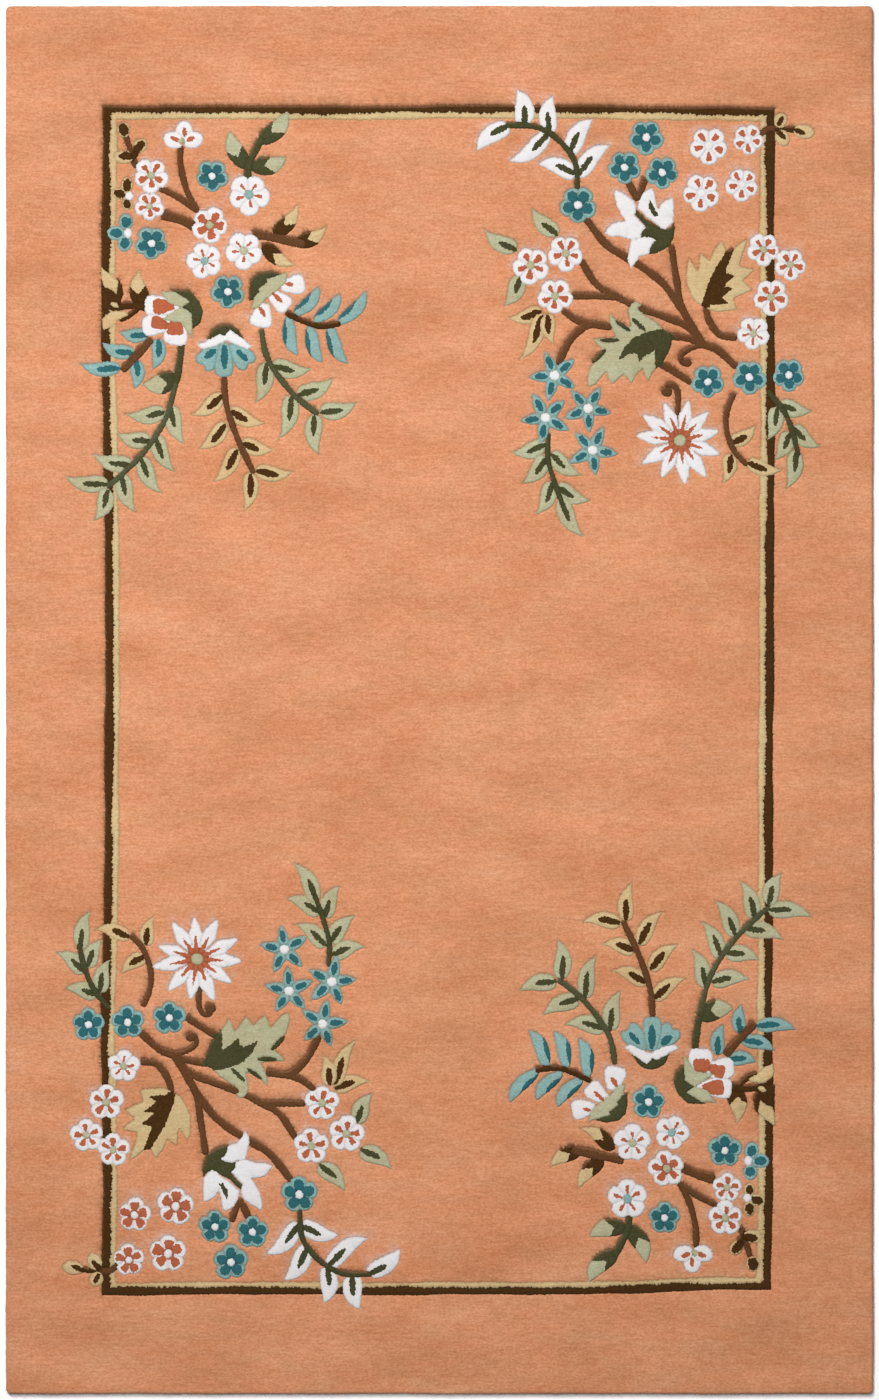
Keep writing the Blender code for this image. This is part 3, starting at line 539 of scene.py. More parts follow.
# A leaf that has its place on the rug
Blade = namedtuple("Blade", "base tip width bow kind")


def leaf_fullness(kind, share):
    """A leaf's width along its length, from 0 at both ends to 1 at its widest."""
    widest = kind.base_taper / (kind.base_taper + kind.tip_taper)
    top = widest ** kind.base_taper * (1 - widest) ** kind.tip_taper
    return max(share, 0) ** kind.base_taper * max(1 - share, 0) ** kind.tip_taper / top


def leaf_point(blade, share, side):
    """A point of a leaf: share runs from base to tip, side from -1 on the right edge to 1 on the left."""
    along = blade.tip - blade.base
    across = Vector((-along.y, along.x)).normalized()
    sag = LEAF_BOW * along.length * math.copysign(1, across.y)
    if blade.bow == "down":
        sag = -sag
    most = (LEAF_HOOK / (LEAF_HOOK + 1)) ** LEAF_HOOK / (LEAF_HOOK + 1)
    bow = max(share, 0) ** LEAF_HOOK * (1 - share) / most
    middle = blade.base + along * share + across * sag * bow
    return middle + across * side * leaf_fullness(blade.kind, share) * blade.width / 2


def leaf_outline(blade, end=1.0, steps=14):
    """The whole leaf, or the part of it from its base to a share of its length."""
    shares = [end * step / steps for step in range(steps + 1)]
    right = [leaf_point(blade, share, -1) for share in shares]
    left = [leaf_point(blade, share, 1) for share in shares]
    return right + left[::-1]


def vein_outline(blade, start, end, fullness, steps=12):
    """A mark along the middle of a leaf, of nearly even width and blunt at its ends."""
    along = blade.tip - blade.base
    across = Vector((-along.y, along.x)).normalized()
    right, left = [], []
    for step in range(steps + 1):
        share = step / steps
        half = fullness * blade.width / 2 * max(math.sin(math.pi * share), VEIN_END) ** VEIN_TAPER
        centre = leaf_point(blade, start + (end - start) * share, 0)
        right.append(centre - across * half)
        left.append(centre + across * half)
    return right + left[::-1]


def strip_outline(blade, start, end, side, depth, steps=12):
    """A mark that hugs one edge of a leaf and reaches a share of the way across it."""
    outer, inner = [], []
    for step in range(steps + 1):
        share = step / steps
        place = start + (end - start) * share
        outer.append(leaf_point(blade, place, side))
        inner.append(leaf_point(blade, place, side * (1 - 2 * depth * math.sin(math.pi * share))))
    return outer + inner[::-1][1:-1]


print("a leaf bows by", LEAF_BOW, "of its length")

# %% [markdown]
# A stem is knotted as a narrow band that wanders from flower to flower. The table gives only a few points
# of it, and a smooth curve runs through them all. A curve object with a bevel would do too, but a plain
# outline can be cut into the pile like every other patch.

# %% Outlines of stems
# A stem's width swells and shrinks by this share, and over the last millimetres it narrows to its end
STEM_SWELL = 0.09
STEM_SWELL_PITCH = 57.0
STEM_END = 0.6
STEM_END_REACH = 5.6


def curve_through(points, spacing):
    """A smooth path through a few points: between two, a cubic steered by the next on each side."""
    ends = [points[0], *points, points[-1]]
    path = []
    for before, start, end, after in zip(ends, ends[1:], ends[2:], ends[3:]):
        count = max(2, round((end - start).length / spacing))
        for step in range(count):
            t = step / count
            path.append(0.5 * (
                2 * start + (end - before) * t + (2 * before - 5 * start + 4 * end - after) * t * t
                + (3 * start - before - 3 * end + after) * t ** 3))
    path.append(points[-1])
    return path


def stem_outline(points, width, spacing=5.0):
    """A band along a smooth path, a little uneven in width and narrowed at its ends."""
    path = curve_through(points, spacing)
    phase = chance.uniform(0, 6)
    left, right = [], []
    for index, point in enumerate(path):
        heading = (path[min(index + 1, len(path) - 1)] - path[max(index - 1, 0)]).normalized()
        across = Vector((-heading.y, heading.x))
        from_end = min(index, len(path) - 1 - index) * spacing
        swell = 1 + STEM_SWELL * math.sin(2 * math.pi * index * spacing / STEM_SWELL_PITCH + phase)
        half = width / 2 * swell * min(1, STEM_END + (1 - STEM_END) * from_end / STEM_END_REACH)
        left.append(point + across * half)
        right.append(point - across * half)
    return left + right[::-1]


print("a stem's width swells by", STEM_SWELL, "of it")

# %% [markdown]
# The cartoon is laid down in painting order: border, leaves, stems, petals of the buds, broad shapes,
# ovals, pointed flowers, and last the round blossoms. Each patch has a yarn and a part. Patches of one
# part are level with each other, and the carver cuts a groove wherever two parts meet. A flush patch has
# no part of its own.

# %% Patches of one yarn
# heather: the share of sage in it. ragged: its own raggedness in millimetres, where it isn't the usual one
Patch = namedtuple("Patch", "yarn part outline heather ragged", defaults=(0.0, None))
patches = []
part_count = 0


def new_part():
    global part_count
    part_count += 1
    return part_count


print(len(patches), "patches laid so far")

# %% [markdown]
# A round blossom is five lobes and an eye. The petal's round end comes from one power curve: a high power
# keeps it full and drops it steeply into the notch. The marks differ from kind to kind, so a small table
# gives where each begins and ends.

# %% Round blossoms
# Sizes as shares of the blossom's radius
NOTCH = 0.79
ROUNDNESS = 2.8
FILL = 0.77
EYE_LENGTH = 0.45
EYE_WIDTH = 0.42
TEAL_REACH = 0.53
TEAL_LENGTH = 0.62
TEAL_WIDTH = 0.57
TEAL_MIDDLE = 0.75
RUST_MIDDLE = 0.62
# Where a petal's rust mark begins and ends, and its width
MARK_SIZES = {
    "rust": (0.22, 0.72, 0.34),
    "open": (0.32, 0.78, 0.34),
    "full": (0.16, 0.80, 0.54),
    "thin": (0.24, 0.64, 0.17),
    "bold": (0.10, 0.76, 0.42),
}
# Sides of a mark: share of the way along it, share of its width
MARK_SIDES = ((0.0, 0.35), (0.4, 0.75), (0.75, 1.0), (1.0, 0.7))
# No two petals are knotted alike: a petal's size varies in this range, and it turns by up to these degrees
PETAL_SIZES = (0.95, 1.04)
PETAL_SWAY = 3
# The same for a mark's outer end and width, and how many degrees it may turn from its petal
MARK_REACHES = (0.92, 1.08)
MARK_WIDTHS = (0.8, 1.2)
MARK_SWAY = 8


def mark_outline(centre, near, far, width, angle):
    """A mark on a petal: narrow by the eye, widest past its middle, and square at its outer end."""
    across = Vector(polar((0, 0), width / 2, angle + 90))
    middle = [Vector(polar(centre, near + (far - near) * along, angle)) for along, _ in MARK_SIDES]
    left = [point + across * side for point, (_, side) in zip(middle, MARK_SIDES)]
    right = [point - across * side for point, (_, side) in zip(middle, MARK_SIDES)]
    return left + right[::-1]


def lay_blossom(put, flower, centre):
    """Five round petals with marks, and an eye in the middle."""
    radius = flower.width / 2
    rim = "aqua" if flower.kind == "teal" else "white"
    # A disc closes the gaps between the petals
    put(rim, new_part(), oval_outline(centre, radius * FILL * 2, radius * FILL * 2, 0))
    for petal in range(5):
        middle = flower.turn + petal * 72 + chance.uniform(-PETAL_SWAY, PETAL_SWAY)
        size = radius * chance.uniform(*PETAL_SIZES)
        put(rim, new_part(), petal_outline(centre, size, middle, 36, NOTCH, ROUNDNESS))
        if flower.kind == "teal":
            place = polar(centre, radius * TEAL_REACH, middle)
            put("teal", None, oval_outline(place, radius * TEAL_LENGTH, radius * TEAL_WIDTH, middle))
            continue
        near, far, width = MARK_SIZES[flower.kind]
        put("rust", None, mark_outline(
            centre, radius * near, radius * far * chance.uniform(*MARK_REACHES),
            radius * width * chance.uniform(*MARK_WIDTHS), middle + chance.uniform(-MARK_SWAY, MARK_SWAY)))
    if flower.kind == "teal":
        put("teal", None, oval_outline(centre, radius * TEAL_MIDDLE, radius * TEAL_MIDDLE, 0))
    if flower.kind in ("bold", "full"):
        put("rust", None, oval_outline(centre, radius * RUST_MIDDLE, radius * RUST_MIDDLE, 0))
    put(flower.eye, new_part(), oval_outline(
        centre, radius * EYE_LENGTH, radius * EYE_WIDTH, chance.uniform(0, 180)))


print(len(MARK_SIZES), "kinds of mark in a blossom")

# %% [markdown]
# A pointed flower is a ring of petals that narrow to a tip. The small ones are aqua with a teal mark in
# each petal. The daisy is white, and rust rays run out from its middle.

# %% Pointed flowers
# Sides of a pointed petal: share of the radius, share of the half gap between petals
STAR_SIDES = {
    "aqua": ((0.40, 1.0), (0.56, 0.62), (0.74, 0.36), (0.90, 0.14)),
    "daisy": ((0.60, 1.0), (0.80, 0.48), (0.96, 0.17)),
}
STAR_YARNS = {"aqua": ("aqua", "white"), "daisy": ("white", "sage")}
STAR_EYES = {"aqua": (17, 16), "daisy": (21, 20)}
# The teal mark on a petal: its distance from the middle, length and width as shares of the radius
STAR_MARK = (0.52, 0.50, 0.23)
# Sides of a rust ray: share of the radius, degrees from the ray's middle. Then its disc in the middle.
RAY_SIDES = ((0.22, 14.0), (0.40, 5.0), (0.50, 2.6))
RAY_DISC = 0.54
# The range of a pointed petal's size and of a ray's length
STAR_SIZES = (0.93, 1.05)
RAY_REACHES = (0.54, 0.70)


def lay_star(put, flower, centre):
    """Pointed petals around an eye: the small ones with a teal mark each, the daisy with rust rays."""
    radius = flower.width / 2
    spread = 180 / flower.petals
    petal_yarn, eye_yarn = STAR_YARNS[flower.kind]
    for petal in range(flower.petals):
        middle = flower.turn + petal * 360 / flower.petals + chance.uniform(-PETAL_SWAY, PETAL_SWAY)
        size = radius * chance.uniform(*STAR_SIZES)
        rows = STAR_SIDES[flower.kind]
        right = [polar(centre, size * reach, middle - spread * turn) for reach, turn in rows]
        left = [polar(centre, size * reach, middle + spread * turn) for reach, turn in rows]
        put(petal_yarn, new_part(), [centre, *right, polar(centre, size, middle), *left[::-1]])
        if flower.kind == "aqua":
            reach, length, width = [radius * share for share in STAR_MARK]
            put("teal", None, oval_outline(polar(centre, reach, middle), length, width, middle))
        else:
            reach = radius * chance.uniform(*RAY_REACHES)
            right = [polar(centre, radius * share, middle - angle) for share, angle in RAY_SIDES]
            left = [polar(centre, radius * share, middle + angle) for share, angle in RAY_SIDES]
            put("rust", None, [*right, polar(centre, reach, middle), *left[::-1]])
    if flower.kind == "daisy":
        put("rust", None, oval_outline(centre, radius * RAY_DISC, radius * RAY_DISC, 0))
    put(eye_yarn, new_part(), oval_outline(centre, *STAR_EYES[flower.kind], 0))


print(len(STAR_SIDES), "kinds of pointed flower")

# %% [markdown]
# A leaf is laid as one patch in its main yarn, and its second colour goes on top as a flush patch.

# %% Leaves with their second colour
# Where each form of mark starts on a leaf and the range in which it ends, as shares of the leaf's length
MARK_SPANS = {
    "vein": (0.0, 0.50, 0.60),
    "broad_vein": (0.03, 0.55, 0.64),
    "strip": (0.04, 0.68, 0.78),
    "base": (0.0, 0.50, 0.60),
}
# How much of the leaf's width a vein and a strip take
VEIN_WIDTHS = {"vein": 0.33, "broad_vein": 0.42}
STRIP_DEPTH = 0.36
# A dark base is this much wider than the leaf, so that it covers all of it
BASE_COVER = 1.04
# How far the pale tip of a bud reaches down into its dark base, as a share of its length
BASE_NOTCH = 0.22


def lay_leaf(put, leaf, base, tip):
    """A leaf with its second colour."""
    kind = LEAF_KINDS[leaf.kind]
    blade = Blade(base, tip, leaf.width, leaf.bow, kind)
    put(kind.yarn, new_part(), leaf_outline(blade))
    start, shortest, longest = MARK_SPANS[kind.form]
    end = chance.uniform(shortest, longest)
    if kind.form in VEIN_WIDTHS:
        mark = vein_outline(blade, start, end, VEIN_WIDTHS[kind.form])
    elif kind.form == "strip":
        side = -1 if tip.y < base.y else 1
        mark = strip_outline(blade, start, end, side, STRIP_DEPTH)
    else:
        whole = leaf_outline(blade._replace(width=leaf.width * BASE_COVER), end)
        half = len(whole) // 2
        mark = [*whole[:half], leaf_point(blade, end - BASE_NOTCH, 0.1), *whole[half:]]
    put(kind.mark, None, mark)


print(len(LEAF_KINDS), "kinds of leaf")

# %% [markdown]
# One function places a whole spray. It turns the table's across and down into rug coordinates, and for
# the lower corners it gives every outline a half turn about the middle of the rug. The turned copies land
# a few millimetres off, and their open blossoms have fuller marks, as on the rug.

# %% Lay a spray
def lay_spray(corner, direction, turned, shift, leaves, stems, petals, shapes, ovals, stars, blossoms):
    def at(across, down):
        return Vector((corner[0] + direction * across, corner[1] - down))

    def put(yarn, part, outline, heather=0.0):
        points = [Vector(point) for point in outline]
        if turned:
            points = [Vector((-point.x + shift[0], -point.y + shift[1])) for point in points]
        patches.append(Patch(yarn, part, points, heather))

    def put_level(row, outline):
        put(row.yarn, new_part() if row.level == "proud" else None, outline)

    for leaf in leaves:
        lay_leaf(put, leaf, at(leaf.base_across, leaf.base_down), at(leaf.tip_across, leaf.tip_down))
    branches = new_part()
    for stem in stems:
        path = [at(*point) for point in stem.points]
        put(stem.yarn, branches, stem_outline(path, stem.width), stem.heather)
    for petal in petals:
        put_level(petal, bud_petal_outline(at(petal.across, petal.down), petal))
    for shape in shapes:
        put_level(shape, [at(*point) for point in shape.outline])
    for oval in ovals:
        put_level(oval, oval_outline(at(oval.across, oval.down), oval.length, oval.width, oval.turn))
    for star in stars:
        lay_star(put, star, at(star.across, star.down))
    for flower in blossoms:
        if turned and flower.kind == "open":
            flower = flower._replace(kind="full")
        lay_blossom(put, flower, at(flower.across, flower.down))


print("a spray has", len(LEAVES_A), "leaves on one side and", len(LEAVES_B), "on the other")

# %% [markdown]
# The border line follows a path of its own. It bows and narrows by some millimetres, as the frame of a
# hand-knotted rug does, and three waves of different length make it drift. Each of its edges lies at a
# distance of its own from that path.

# %% Border line
# Length in millimetres and strength of each wave of the drift
WAVES = ((410.0, 0.5), (230.0, 0.5), (97.0, 0.3))


def waver(along, phase, size):
    """A slow drift sideways, because a hand-knotted line is never ruled."""
    return size * sum(
        strength * math.sin(2 * math.pi * along / length + phase * (index + 1))
        for index, (length, strength) in enumerate(WAVES))


# The path of the border line's middle, counterclockwise from the head's right corner
BORDER_PATH = (
    (581, 1033), (430, 1034), (265, 1038), (-200, 1036), (-583, 1037),
    (-586, 800), (-585, 550), (-579, 250), (-580, -250), (-587, -600), (-583, -850), (-585, -1038),
    (-200, -1037), (0, -1038), (200, -1037), (330, -1035), (440, -1031), (575, -1029),
    (578, -850), (577, -500), (579, 0), (582, 640), (580, 850),
)
BORDER_STEP = 12.0
# A point of the path beyond these is on a side or on an end of the frame
BORDER_SIDE_X = 500.0
BORDER_END_Y = 1000.0


# How far inside the path each edge lies on the sides, at the head and at the foot, and how much it drifts
Edge = namedtuple("Edge", "sides head foot phase drift")
BROWN_OUTER = Edge(-7.4, -5.0, -6.2, 0.3, 1.4)
BROWN_INNER = Edge(7.4, 7.4, 7.1, 1.9, 2.2)
TAN_INNER = Edge(18.2, 18.2, 15.4, 0.6, 1.4)
# Where brown meets tan the knots interlock in teeth: each is in or out by about this much
TEETH = 1.1


def border_loop(edge):
    """A closed line that follows the border's path at an edge's distance, with a slow drift."""
    corners = []
    for x, y in BORDER_PATH:
        if abs(x) > BORDER_SIDE_X:
            x -= math.copysign(1, x) * edge.sides
        if abs(y) > BORDER_END_Y:
            y -= edge.head if y > 0 else -edge.foot
        corners.append(Vector((x, y)))
    loop = []
    for start, end in zip(corners, corners[1:] + corners[:1]):
        count = round((end - start).length / BORDER_STEP)
        upright = abs(end.y - start.y) > abs(end.x - start.x)
        for step in range(count):
            point = start + (end - start) * step / count
            drift = waver(point.y if upright else point.x, edge.phase, edge.drift)
            loop.append(point + Vector((drift, 0) if upright else (0, drift)))
    return loop


print(len(border_loop(BROWN_OUTER)), "points on the outer edge of the border line")

# %% [markdown]
# Now the cartoon can be laid. The border comes first: a brown loop, a tan loop inside it and the field
# inside that, one over the other, so that each covers the last. A ring of its own for each colour would
# need two outlines that fit exactly. Then each spray is laid twice, as drawn and after its half turn.

# %% Lay the border line and the four sprays
patches.append(Patch("dark_brown", new_part(), border_loop(BROWN_OUTER)))
patches.append(Patch("tan", new_part(), border_loop(BROWN_INNER), ragged=TEETH))
patches.append(Patch("field", 0, border_loop(TAN_INNER)))
for turned in (False, True):
    lay_spray(
        CORNER_A, 1, turned, TURNED_A_SHIFT, LEAVES_A, STEMS_A, PETALS_A, SHAPES_A, OVALS_A, (), BLOSSOMS_A)
    lay_spray(
        CORNER_B, -1, turned, TURNED_B_SHIFT, LEAVES_B, STEMS_B, (), SHAPES_B, OVALS_B, STARS_B, BLOSSOMS_B)
print(len(patches), "patches in", part_count, "parts")

# %% [markdown]
# Close up, no edge in a knotted rug is smooth: it steps from knot to knot, and the pile leans up the rug,
# so tufts along a motif's upper edge fray over the field. Each outline is walked in steps smaller than a
# knot, and each step is pushed in or out by chance, further where the edge faces up.

# %% Ragged outlines
WALK = 2.1
RAGGED = 0.42
RAGGED_MARK = 0.7
FRAY = 1.5
LEAN = np.array((-0.35, 0.94))


def walked(outline, step):
    """An outline as evenly spaced points with outward normals."""
    corners = np.array([tuple(point) for point in outline], float)
    following = np.roll(corners, -1, axis=0)
    lengths = np.linalg.norm(following - corners, axis=1)
    area = np.sum(corners[:, 0] * following[:, 1] - following[:, 0] * corners[:, 1])
    whole = lengths.sum()
    count = max(6, int(round(whole / step)))
    stops = np.concatenate([[0], np.cumsum(lengths)])
    places = np.arange(count) * whole / count
    loop = np.vstack([corners, corners[:1]])
    points = np.stack([np.interp(places, stops, loop[:, axis]) for axis in (0, 1)], axis=1)
    heading = np.roll(points, -1, axis=0) - np.roll(points, 1, axis=0)
    heading /= np.maximum(np.linalg.norm(heading, axis=1, keepdims=True), 1e-9)
    normal = np.stack([heading[:, 1], -heading[:, 0]], axis=1)
    return points, normal if area > 0 else -normal


draw = np.random.default_rng(11)
ragged_outlines = []
for patch in patches:
    points, normal = walked(patch.outline, WALK)
    push = draw.normal(0, patch.ragged or (RAGGED if patch.part else RAGGED_MARK), len(points))
    push += FRAY * np.maximum(normal @ LEAN, 0) * draw.random(len(points))
    ragged_outlines.append(points + normal * push[:, None])
print(sum(len(outline) for outline in ragged_outlines), "points on ragged outlines")

# %% [markdown]
# The relief needs points where the height changes: on the slopes to each side of every proud outline. Rings
# of loose points follow each outline, inside and outside, and far from any motif a wide grid is enough.

# %% Loose points for the relief
INNER_RINGS = (-1.3, -3.4)
OUTER_RINGS = (1.5, 3.8)
FRAY_RING = 6.5
RING_WALK = 2.8
# An edge faces up the rug where its normal points this much along the lean
FACING_UP = 0.3
GRID = 24.0
GRID_INSET = 14.0
# One loose point is kept in each square of this size, and moved a little so that no two lie in line
SPARSE = 1.5
SCATTER = 0.2

loose = []
for patch in patches:
    if patch.part is None:
        continue
    points, normal = walked(patch.outline, RING_WALK)
    for distance in (*INNER_RINGS, *OUTER_RINGS):
        loose.append(points + normal * distance)
    upper = normal @ LEAN > FACING_UP
    loose.append((points + normal * FRAY_RING)[upper])
across, down = np.meshgrid(
    np.arange(-RUG_WIDTH / 2 + GRID_INSET, RUG_WIDTH / 2 - GRID_INSET, GRID),
    np.arange(-RUG_LENGTH / 2 + GRID_INSET, RUG_LENGTH / 2 - GRID_INSET, GRID))
loose.append(np.stack([across.ravel(), down.ravel()], axis=1))
loose = np.vstack(loose)
_, kept = np.unique(np.round(loose / SPARSE).astype(int), axis=0, return_index=True)
loose = loose[np.sort(kept)]
loose += draw.uniform(-SCATTER, SCATTER, loose.shape)
print(len(loose), "loose points")

# %% [markdown]
# The rug's own outline is nearly straight, with a drift of under a millimetre, and its corners are soft.

# %% Outline of the rug
RIM_INSET = 6.5
RIM_STEP = 6.0
CORNER_RADIUS = 9.0
CORNER_STEPS = 5
EDGE_DRIFT = 0.5
# Each side drifts in its own way: by this much further along the waves than the last
EDGE_PHASE = 2.25


def rug_outline(inset):
    """Points around the rug at an inset from its edge, counterclockwise, the same number at every inset."""
    points = []
    # Each side is drawn as if it were the right one, and then turned into its place
    for quarter in range(4):
        across, length = (RUG_WIDTH, RUG_LENGTH) if quarter % 2 == 0 else (RUG_LENGTH, RUG_WIDTH)
        outer = across / 2 - EDGE_DRIFT
        run = length / 2 - CORNER_RADIUS
        count = int(2 * run / RIM_STEP)
        side = []
        for step in range(count):
            along = -run + 2 * run * step / count
            side.append((outer - inset + waver(along, quarter * EDGE_PHASE, EDGE_DRIFT), along))
        radius = CORNER_RADIUS - inset
        for step in range(CORNER_STEPS):
            angle = math.radians(90 * step / CORNER_STEPS)
            side.append((
                outer - CORNER_RADIUS + radius * math.cos(angle),
                run + radius * math.sin(angle) - EDGE_DRIFT))
        cos, sin = ((1, 0), (0, 1), (-1, 0), (0, -1))[quarter]
        points += [(out * cos - along * sin, out * sin + along * cos) for out, along in side]
    return np.array(points)


rim = rug_outline(RIM_INSET)
print(len(rim), "points around the rim")

# %% [markdown]
# Now the whole top face is triangulated at once. A constrained triangulation keeps every outline as a row
# of edges, so no triangle crosses from one yarn to another, and it makes the rest of the triangles as
# even as it can.

# %% Triangulate the top face
vertices = [*map(tuple, rim)]
edges = [(index, (index + 1) % len(rim)) for index in range(len(rim))]
for outline in ragged_outlines:
    first, count = len(vertices), len(outline)
    vertices += map(tuple, outline)
    edges += [(first + index, first + (index + 1) % count) for index in range(count)]
vertices += map(tuple, loose)
found = delaunay_2d_cdt([Vector(point) for point in vertices], edges, [], 0, 1e-3, False)
top = np.array([tuple(point) for point in found[0]])
triangles = np.array([tuple(face) for face in found[2]])
middles = top[triangles].mean(axis=1)


def inside(points, outline):
    """Which points lie inside a closed outline: those with an odd number of crossings to their right."""
    order = np.argsort(points[:, 1])
    across, up = points[order, 0], points[order, 1]
    odd = np.zeros(len(points), bool)
    following = np.roll(outline, -1, axis=0)
    firsts = np.searchsorted(up, np.minimum(outline[:, 1], following[:, 1]))
    lasts = np.searchsorted(up, np.maximum(outline[:, 1], following[:, 1]))
    for start, end, first, last in zip(outline, following, firsts, lasts):
        if first == last:
            continue
        level = up[first:last]
        crossing = start[0] + (level - start[1]) * (end[0] - start[0]) / (end[1] - start[1])
        odd[first:last] ^= across[first:last] < crossing
    result = np.zeros(len(points), bool)
    result[order] = odd
    return result


kept = inside(middles, rim)
triangles, middles = triangles[kept], middles[kept]
print(len(top), "points and", len(triangles), "triangles")

# %% [markdown]
# Each triangle is given to the topmost patch that holds its middle. The patches are gone through in
# painting order, so a later one simply takes over. A flush patch changes the yarn and leaves the part.

# %% Give each triangle its yarn and its part
yarn_names = list(YARNS)
yarn_of = np.zeros(len(triangles), int)
part_of = np.zeros(len(triangles), int)
heather_of = np.zeros(len(triangles))
order = np.argsort(middles[:, 0])
sorted_x = middles[order, 0]
for patch, outline in zip(patches, ragged_outlines):
    low, high = outline.min(axis=0), outline.max(axis=0)
    near = order[np.searchsorted(sorted_x, low[0]):np.searchsorted(sorted_x, high[0])]
    near = near[(middles[near, 1] >= low[1]) & (middles[near, 1] <= high[1])]
    held = near[inside(middles[near], outline)]
    if patch.part is None:
        held = held[part_of[held] > 0]
    else:
        part_of[held] = patch.part
    yarn_of[held] = yarn_names.index(patch.yarn)
    heather_of[held] = patch.heather
print({name: int((yarn_of == index).sum()) for index, name in enumerate(yarn_names)})

# %% [markdown]
# A groove runs along every edge whose two triangles belong to different parts. Sorting all edges brings
# the two triangles of each together. A tree of points along the grooves then finds the nearest one fast.

# %% Find the grooves
pairs = np.sort(np.concatenate([triangles[:, [0, 1]], triangles[:, [1, 2]], triangles[:, [2, 0]]]), axis=1)
owner = np.tile(np.arange(len(triangles)), 3)
sorting = np.lexsort((pairs[:, 1], pairs[:, 0]))
pairs, owner = pairs[sorting], owner[sorting]
twin = np.where((pairs[:-1] == pairs[1:]).all(axis=1))[0]
first, second = owner[twin], owner[twin + 1]
cut = part_of[first] != part_of[second]
groove_ends = pairs[twin[cut]]
first, second = first[cut], second[cut]
proud = np.where(part_of[first] > 0, first, second)
beside_field = (part_of[first] == 0) | (part_of[second] == 0)
groove_middle = top[groove_ends].mean(axis=1)
outward = groove_middle - middles[proud]
outward /= np.maximum(np.linalg.norm(outward, axis=1, keepdims=True), 1e-9)
along = top[groove_ends[:, 1]] - top[groove_ends[:, 0]]
along /= np.maximum(np.linalg.norm(along, axis=1, keepdims=True), 1e-9)
outward -= along * (outward * along).sum(axis=1, keepdims=True)
outward /= np.maximum(np.linalg.norm(outward, axis=1, keepdims=True), 1e-9)
print(len(groove_ends), "edges lie in a groove")

tree = kdtree.KDTree(3 * len(groove_ends))
for index, (start, end) in enumerate(top[groove_ends]):
    for place in (0.0, 0.5, 1.0):
        point = start + (end - start) * place
        tree.insert((point[0], point[1], 0), index)
tree.balance()

# %% [markdown]
# The distance from each point to the nearest groove gives its height: it rises from the groove in a short
# rounded slope, to the field on one side and to the prouder motif on the other. A low swell keeps the
# rest from being dead flat. A bump map could shade such slopes too, but it would show no height when the
# rug is seen from low down.

# %% Heights
SLOPE = 3.0
# A motif's middle stands this much higher, over this distance from its edge
CROWN = 0.3
CROWN_REACH = 12.0
# A groove against the field is cut this deep below it
FIELD_CUT = 0.5
# The field's swell: height and pitch across and up the rug, in millimetres
LONG_SWELL = (0.25, 383.0, 521.0)
SHORT_SWELL = (0.15, 145.0, 232.0)
SWELL_PHASE = 1.3

reach = np.zeros(len(top))
nearest = np.zeros(len(top), int)
for index, (x, y) in enumerate(top):
    _, nearest[index], reach[index] = tree.find((x, y, 0))
is_proud = np.zeros(len(top), bool)
is_field = np.zeros(len(top), bool)
is_proud[triangles[part_of > 0].ravel()] = True
is_field[triangles[part_of == 0].ravel()] = True

base = np.where(beside_field[nearest], -FIELD_CUT, RELIEF_RISE - GROOVE_DEPTH)
goal = np.where(is_field, 0.0, RELIEF_RISE + CROWN * np.clip(reach / CROWN_REACH, 0, 1))
share = np.clip(reach / SLOPE, 0, 1)
rounded = 1 - (1 - share) ** 2
height = base + (goal - base) * rounded
turns = 2 * np.pi * top
swell = LONG_SWELL[0] * np.sin(turns[:, 0] / LONG_SWELL[1] + SWELL_PHASE)
swell *= np.sin(turns[:, 1] / LONG_SWELL[2])
swell += SHORT_SWELL[0] * np.sin(turns[:, 0] / SHORT_SWELL[1] + turns[:, 1] / SHORT_SWELL[2])
height += swell * share
print("height from", round(height.min(), 2), "to", round(height.max(), 2), "mm over the field")

# %% [markdown]
# Four more values are kept for each point. The groove shade is painted shade: it grows with how deep the
# point lies in a groove, and is darkest where a motif's edge faces up the rug. Frayed is how much of
# a motif's fibre strays over the field there, which happens only where the motif's edge faces up the rug,
# as the pile leans that way. Blended is how much of the field's fibre mixes into the motif at that same
# edge. Lit is painted light: it brightens the field just below a motif, where the pile opens to the light.

# %% Painted groove shade, frayed edges and painted light
FRAY_REACH = 8.5
BLEND_REACH = 3.2
LIT_REACH = 4.0
# How dark the painted groove shade is: against the field at least this share, between two white petals and
# between others
FIELD_GROOVE = 0.45
WHITE_GROOVE = 0.4
MOTIF_GROOVE = 0.6
# The field below a motif gets only this share of the painted groove shade
LOWER_GROOVE = 0.3
FACING_DOWN = -0.2
# Below 1, fray spreads to edges that only half face up
FRAY_SPREAD = 0.7
# How much of each yarn's fibre strays over the field: dark yarns show it, pale ones hardly do
STRAYS = {
    "field": 0.0, "dark_brown": 1.0, "stem_brown": 1.0, "tan": 0.25, "sage": 0.25, "olive": 0.95,
    "white": 0.6, "rust": 0.5, "teal": 0.7, "aqua": 0.35,
}
strays = np.array([STRAYS[name] for name in yarn_names])
neighbour = yarn_of[proud[nearest]]
edge_up = outward[nearest] @ LEAN
meets_field = beside_field[nearest]
depth = np.clip(1 - reach / SLOPE, 0, 1)
between = np.where(neighbour == yarn_names.index("white"), WHITE_GROOVE, MOTIF_GROOVE)
faces_up = np.clip(edge_up, 0, 1)
# Painted shade in the grooves, darkest along a motif's upper edge, where the leaning pile shades the field
groove_shade = depth * np.where(meets_field, FIELD_GROOVE + (1 - FIELD_GROOVE) * faces_up, between)
groove_shade *= np.where(is_field & ~is_proud & (edge_up < FACING_DOWN), LOWER_GROOVE, 1.0)
frayed = np.clip(1 - reach / FRAY_REACH, 0, 1) * faces_up ** FRAY_SPREAD * meets_field * strays[neighbour]
blended = np.clip(1 - reach / BLEND_REACH, 0, 1) * faces_up * meets_field * strays[neighbour]
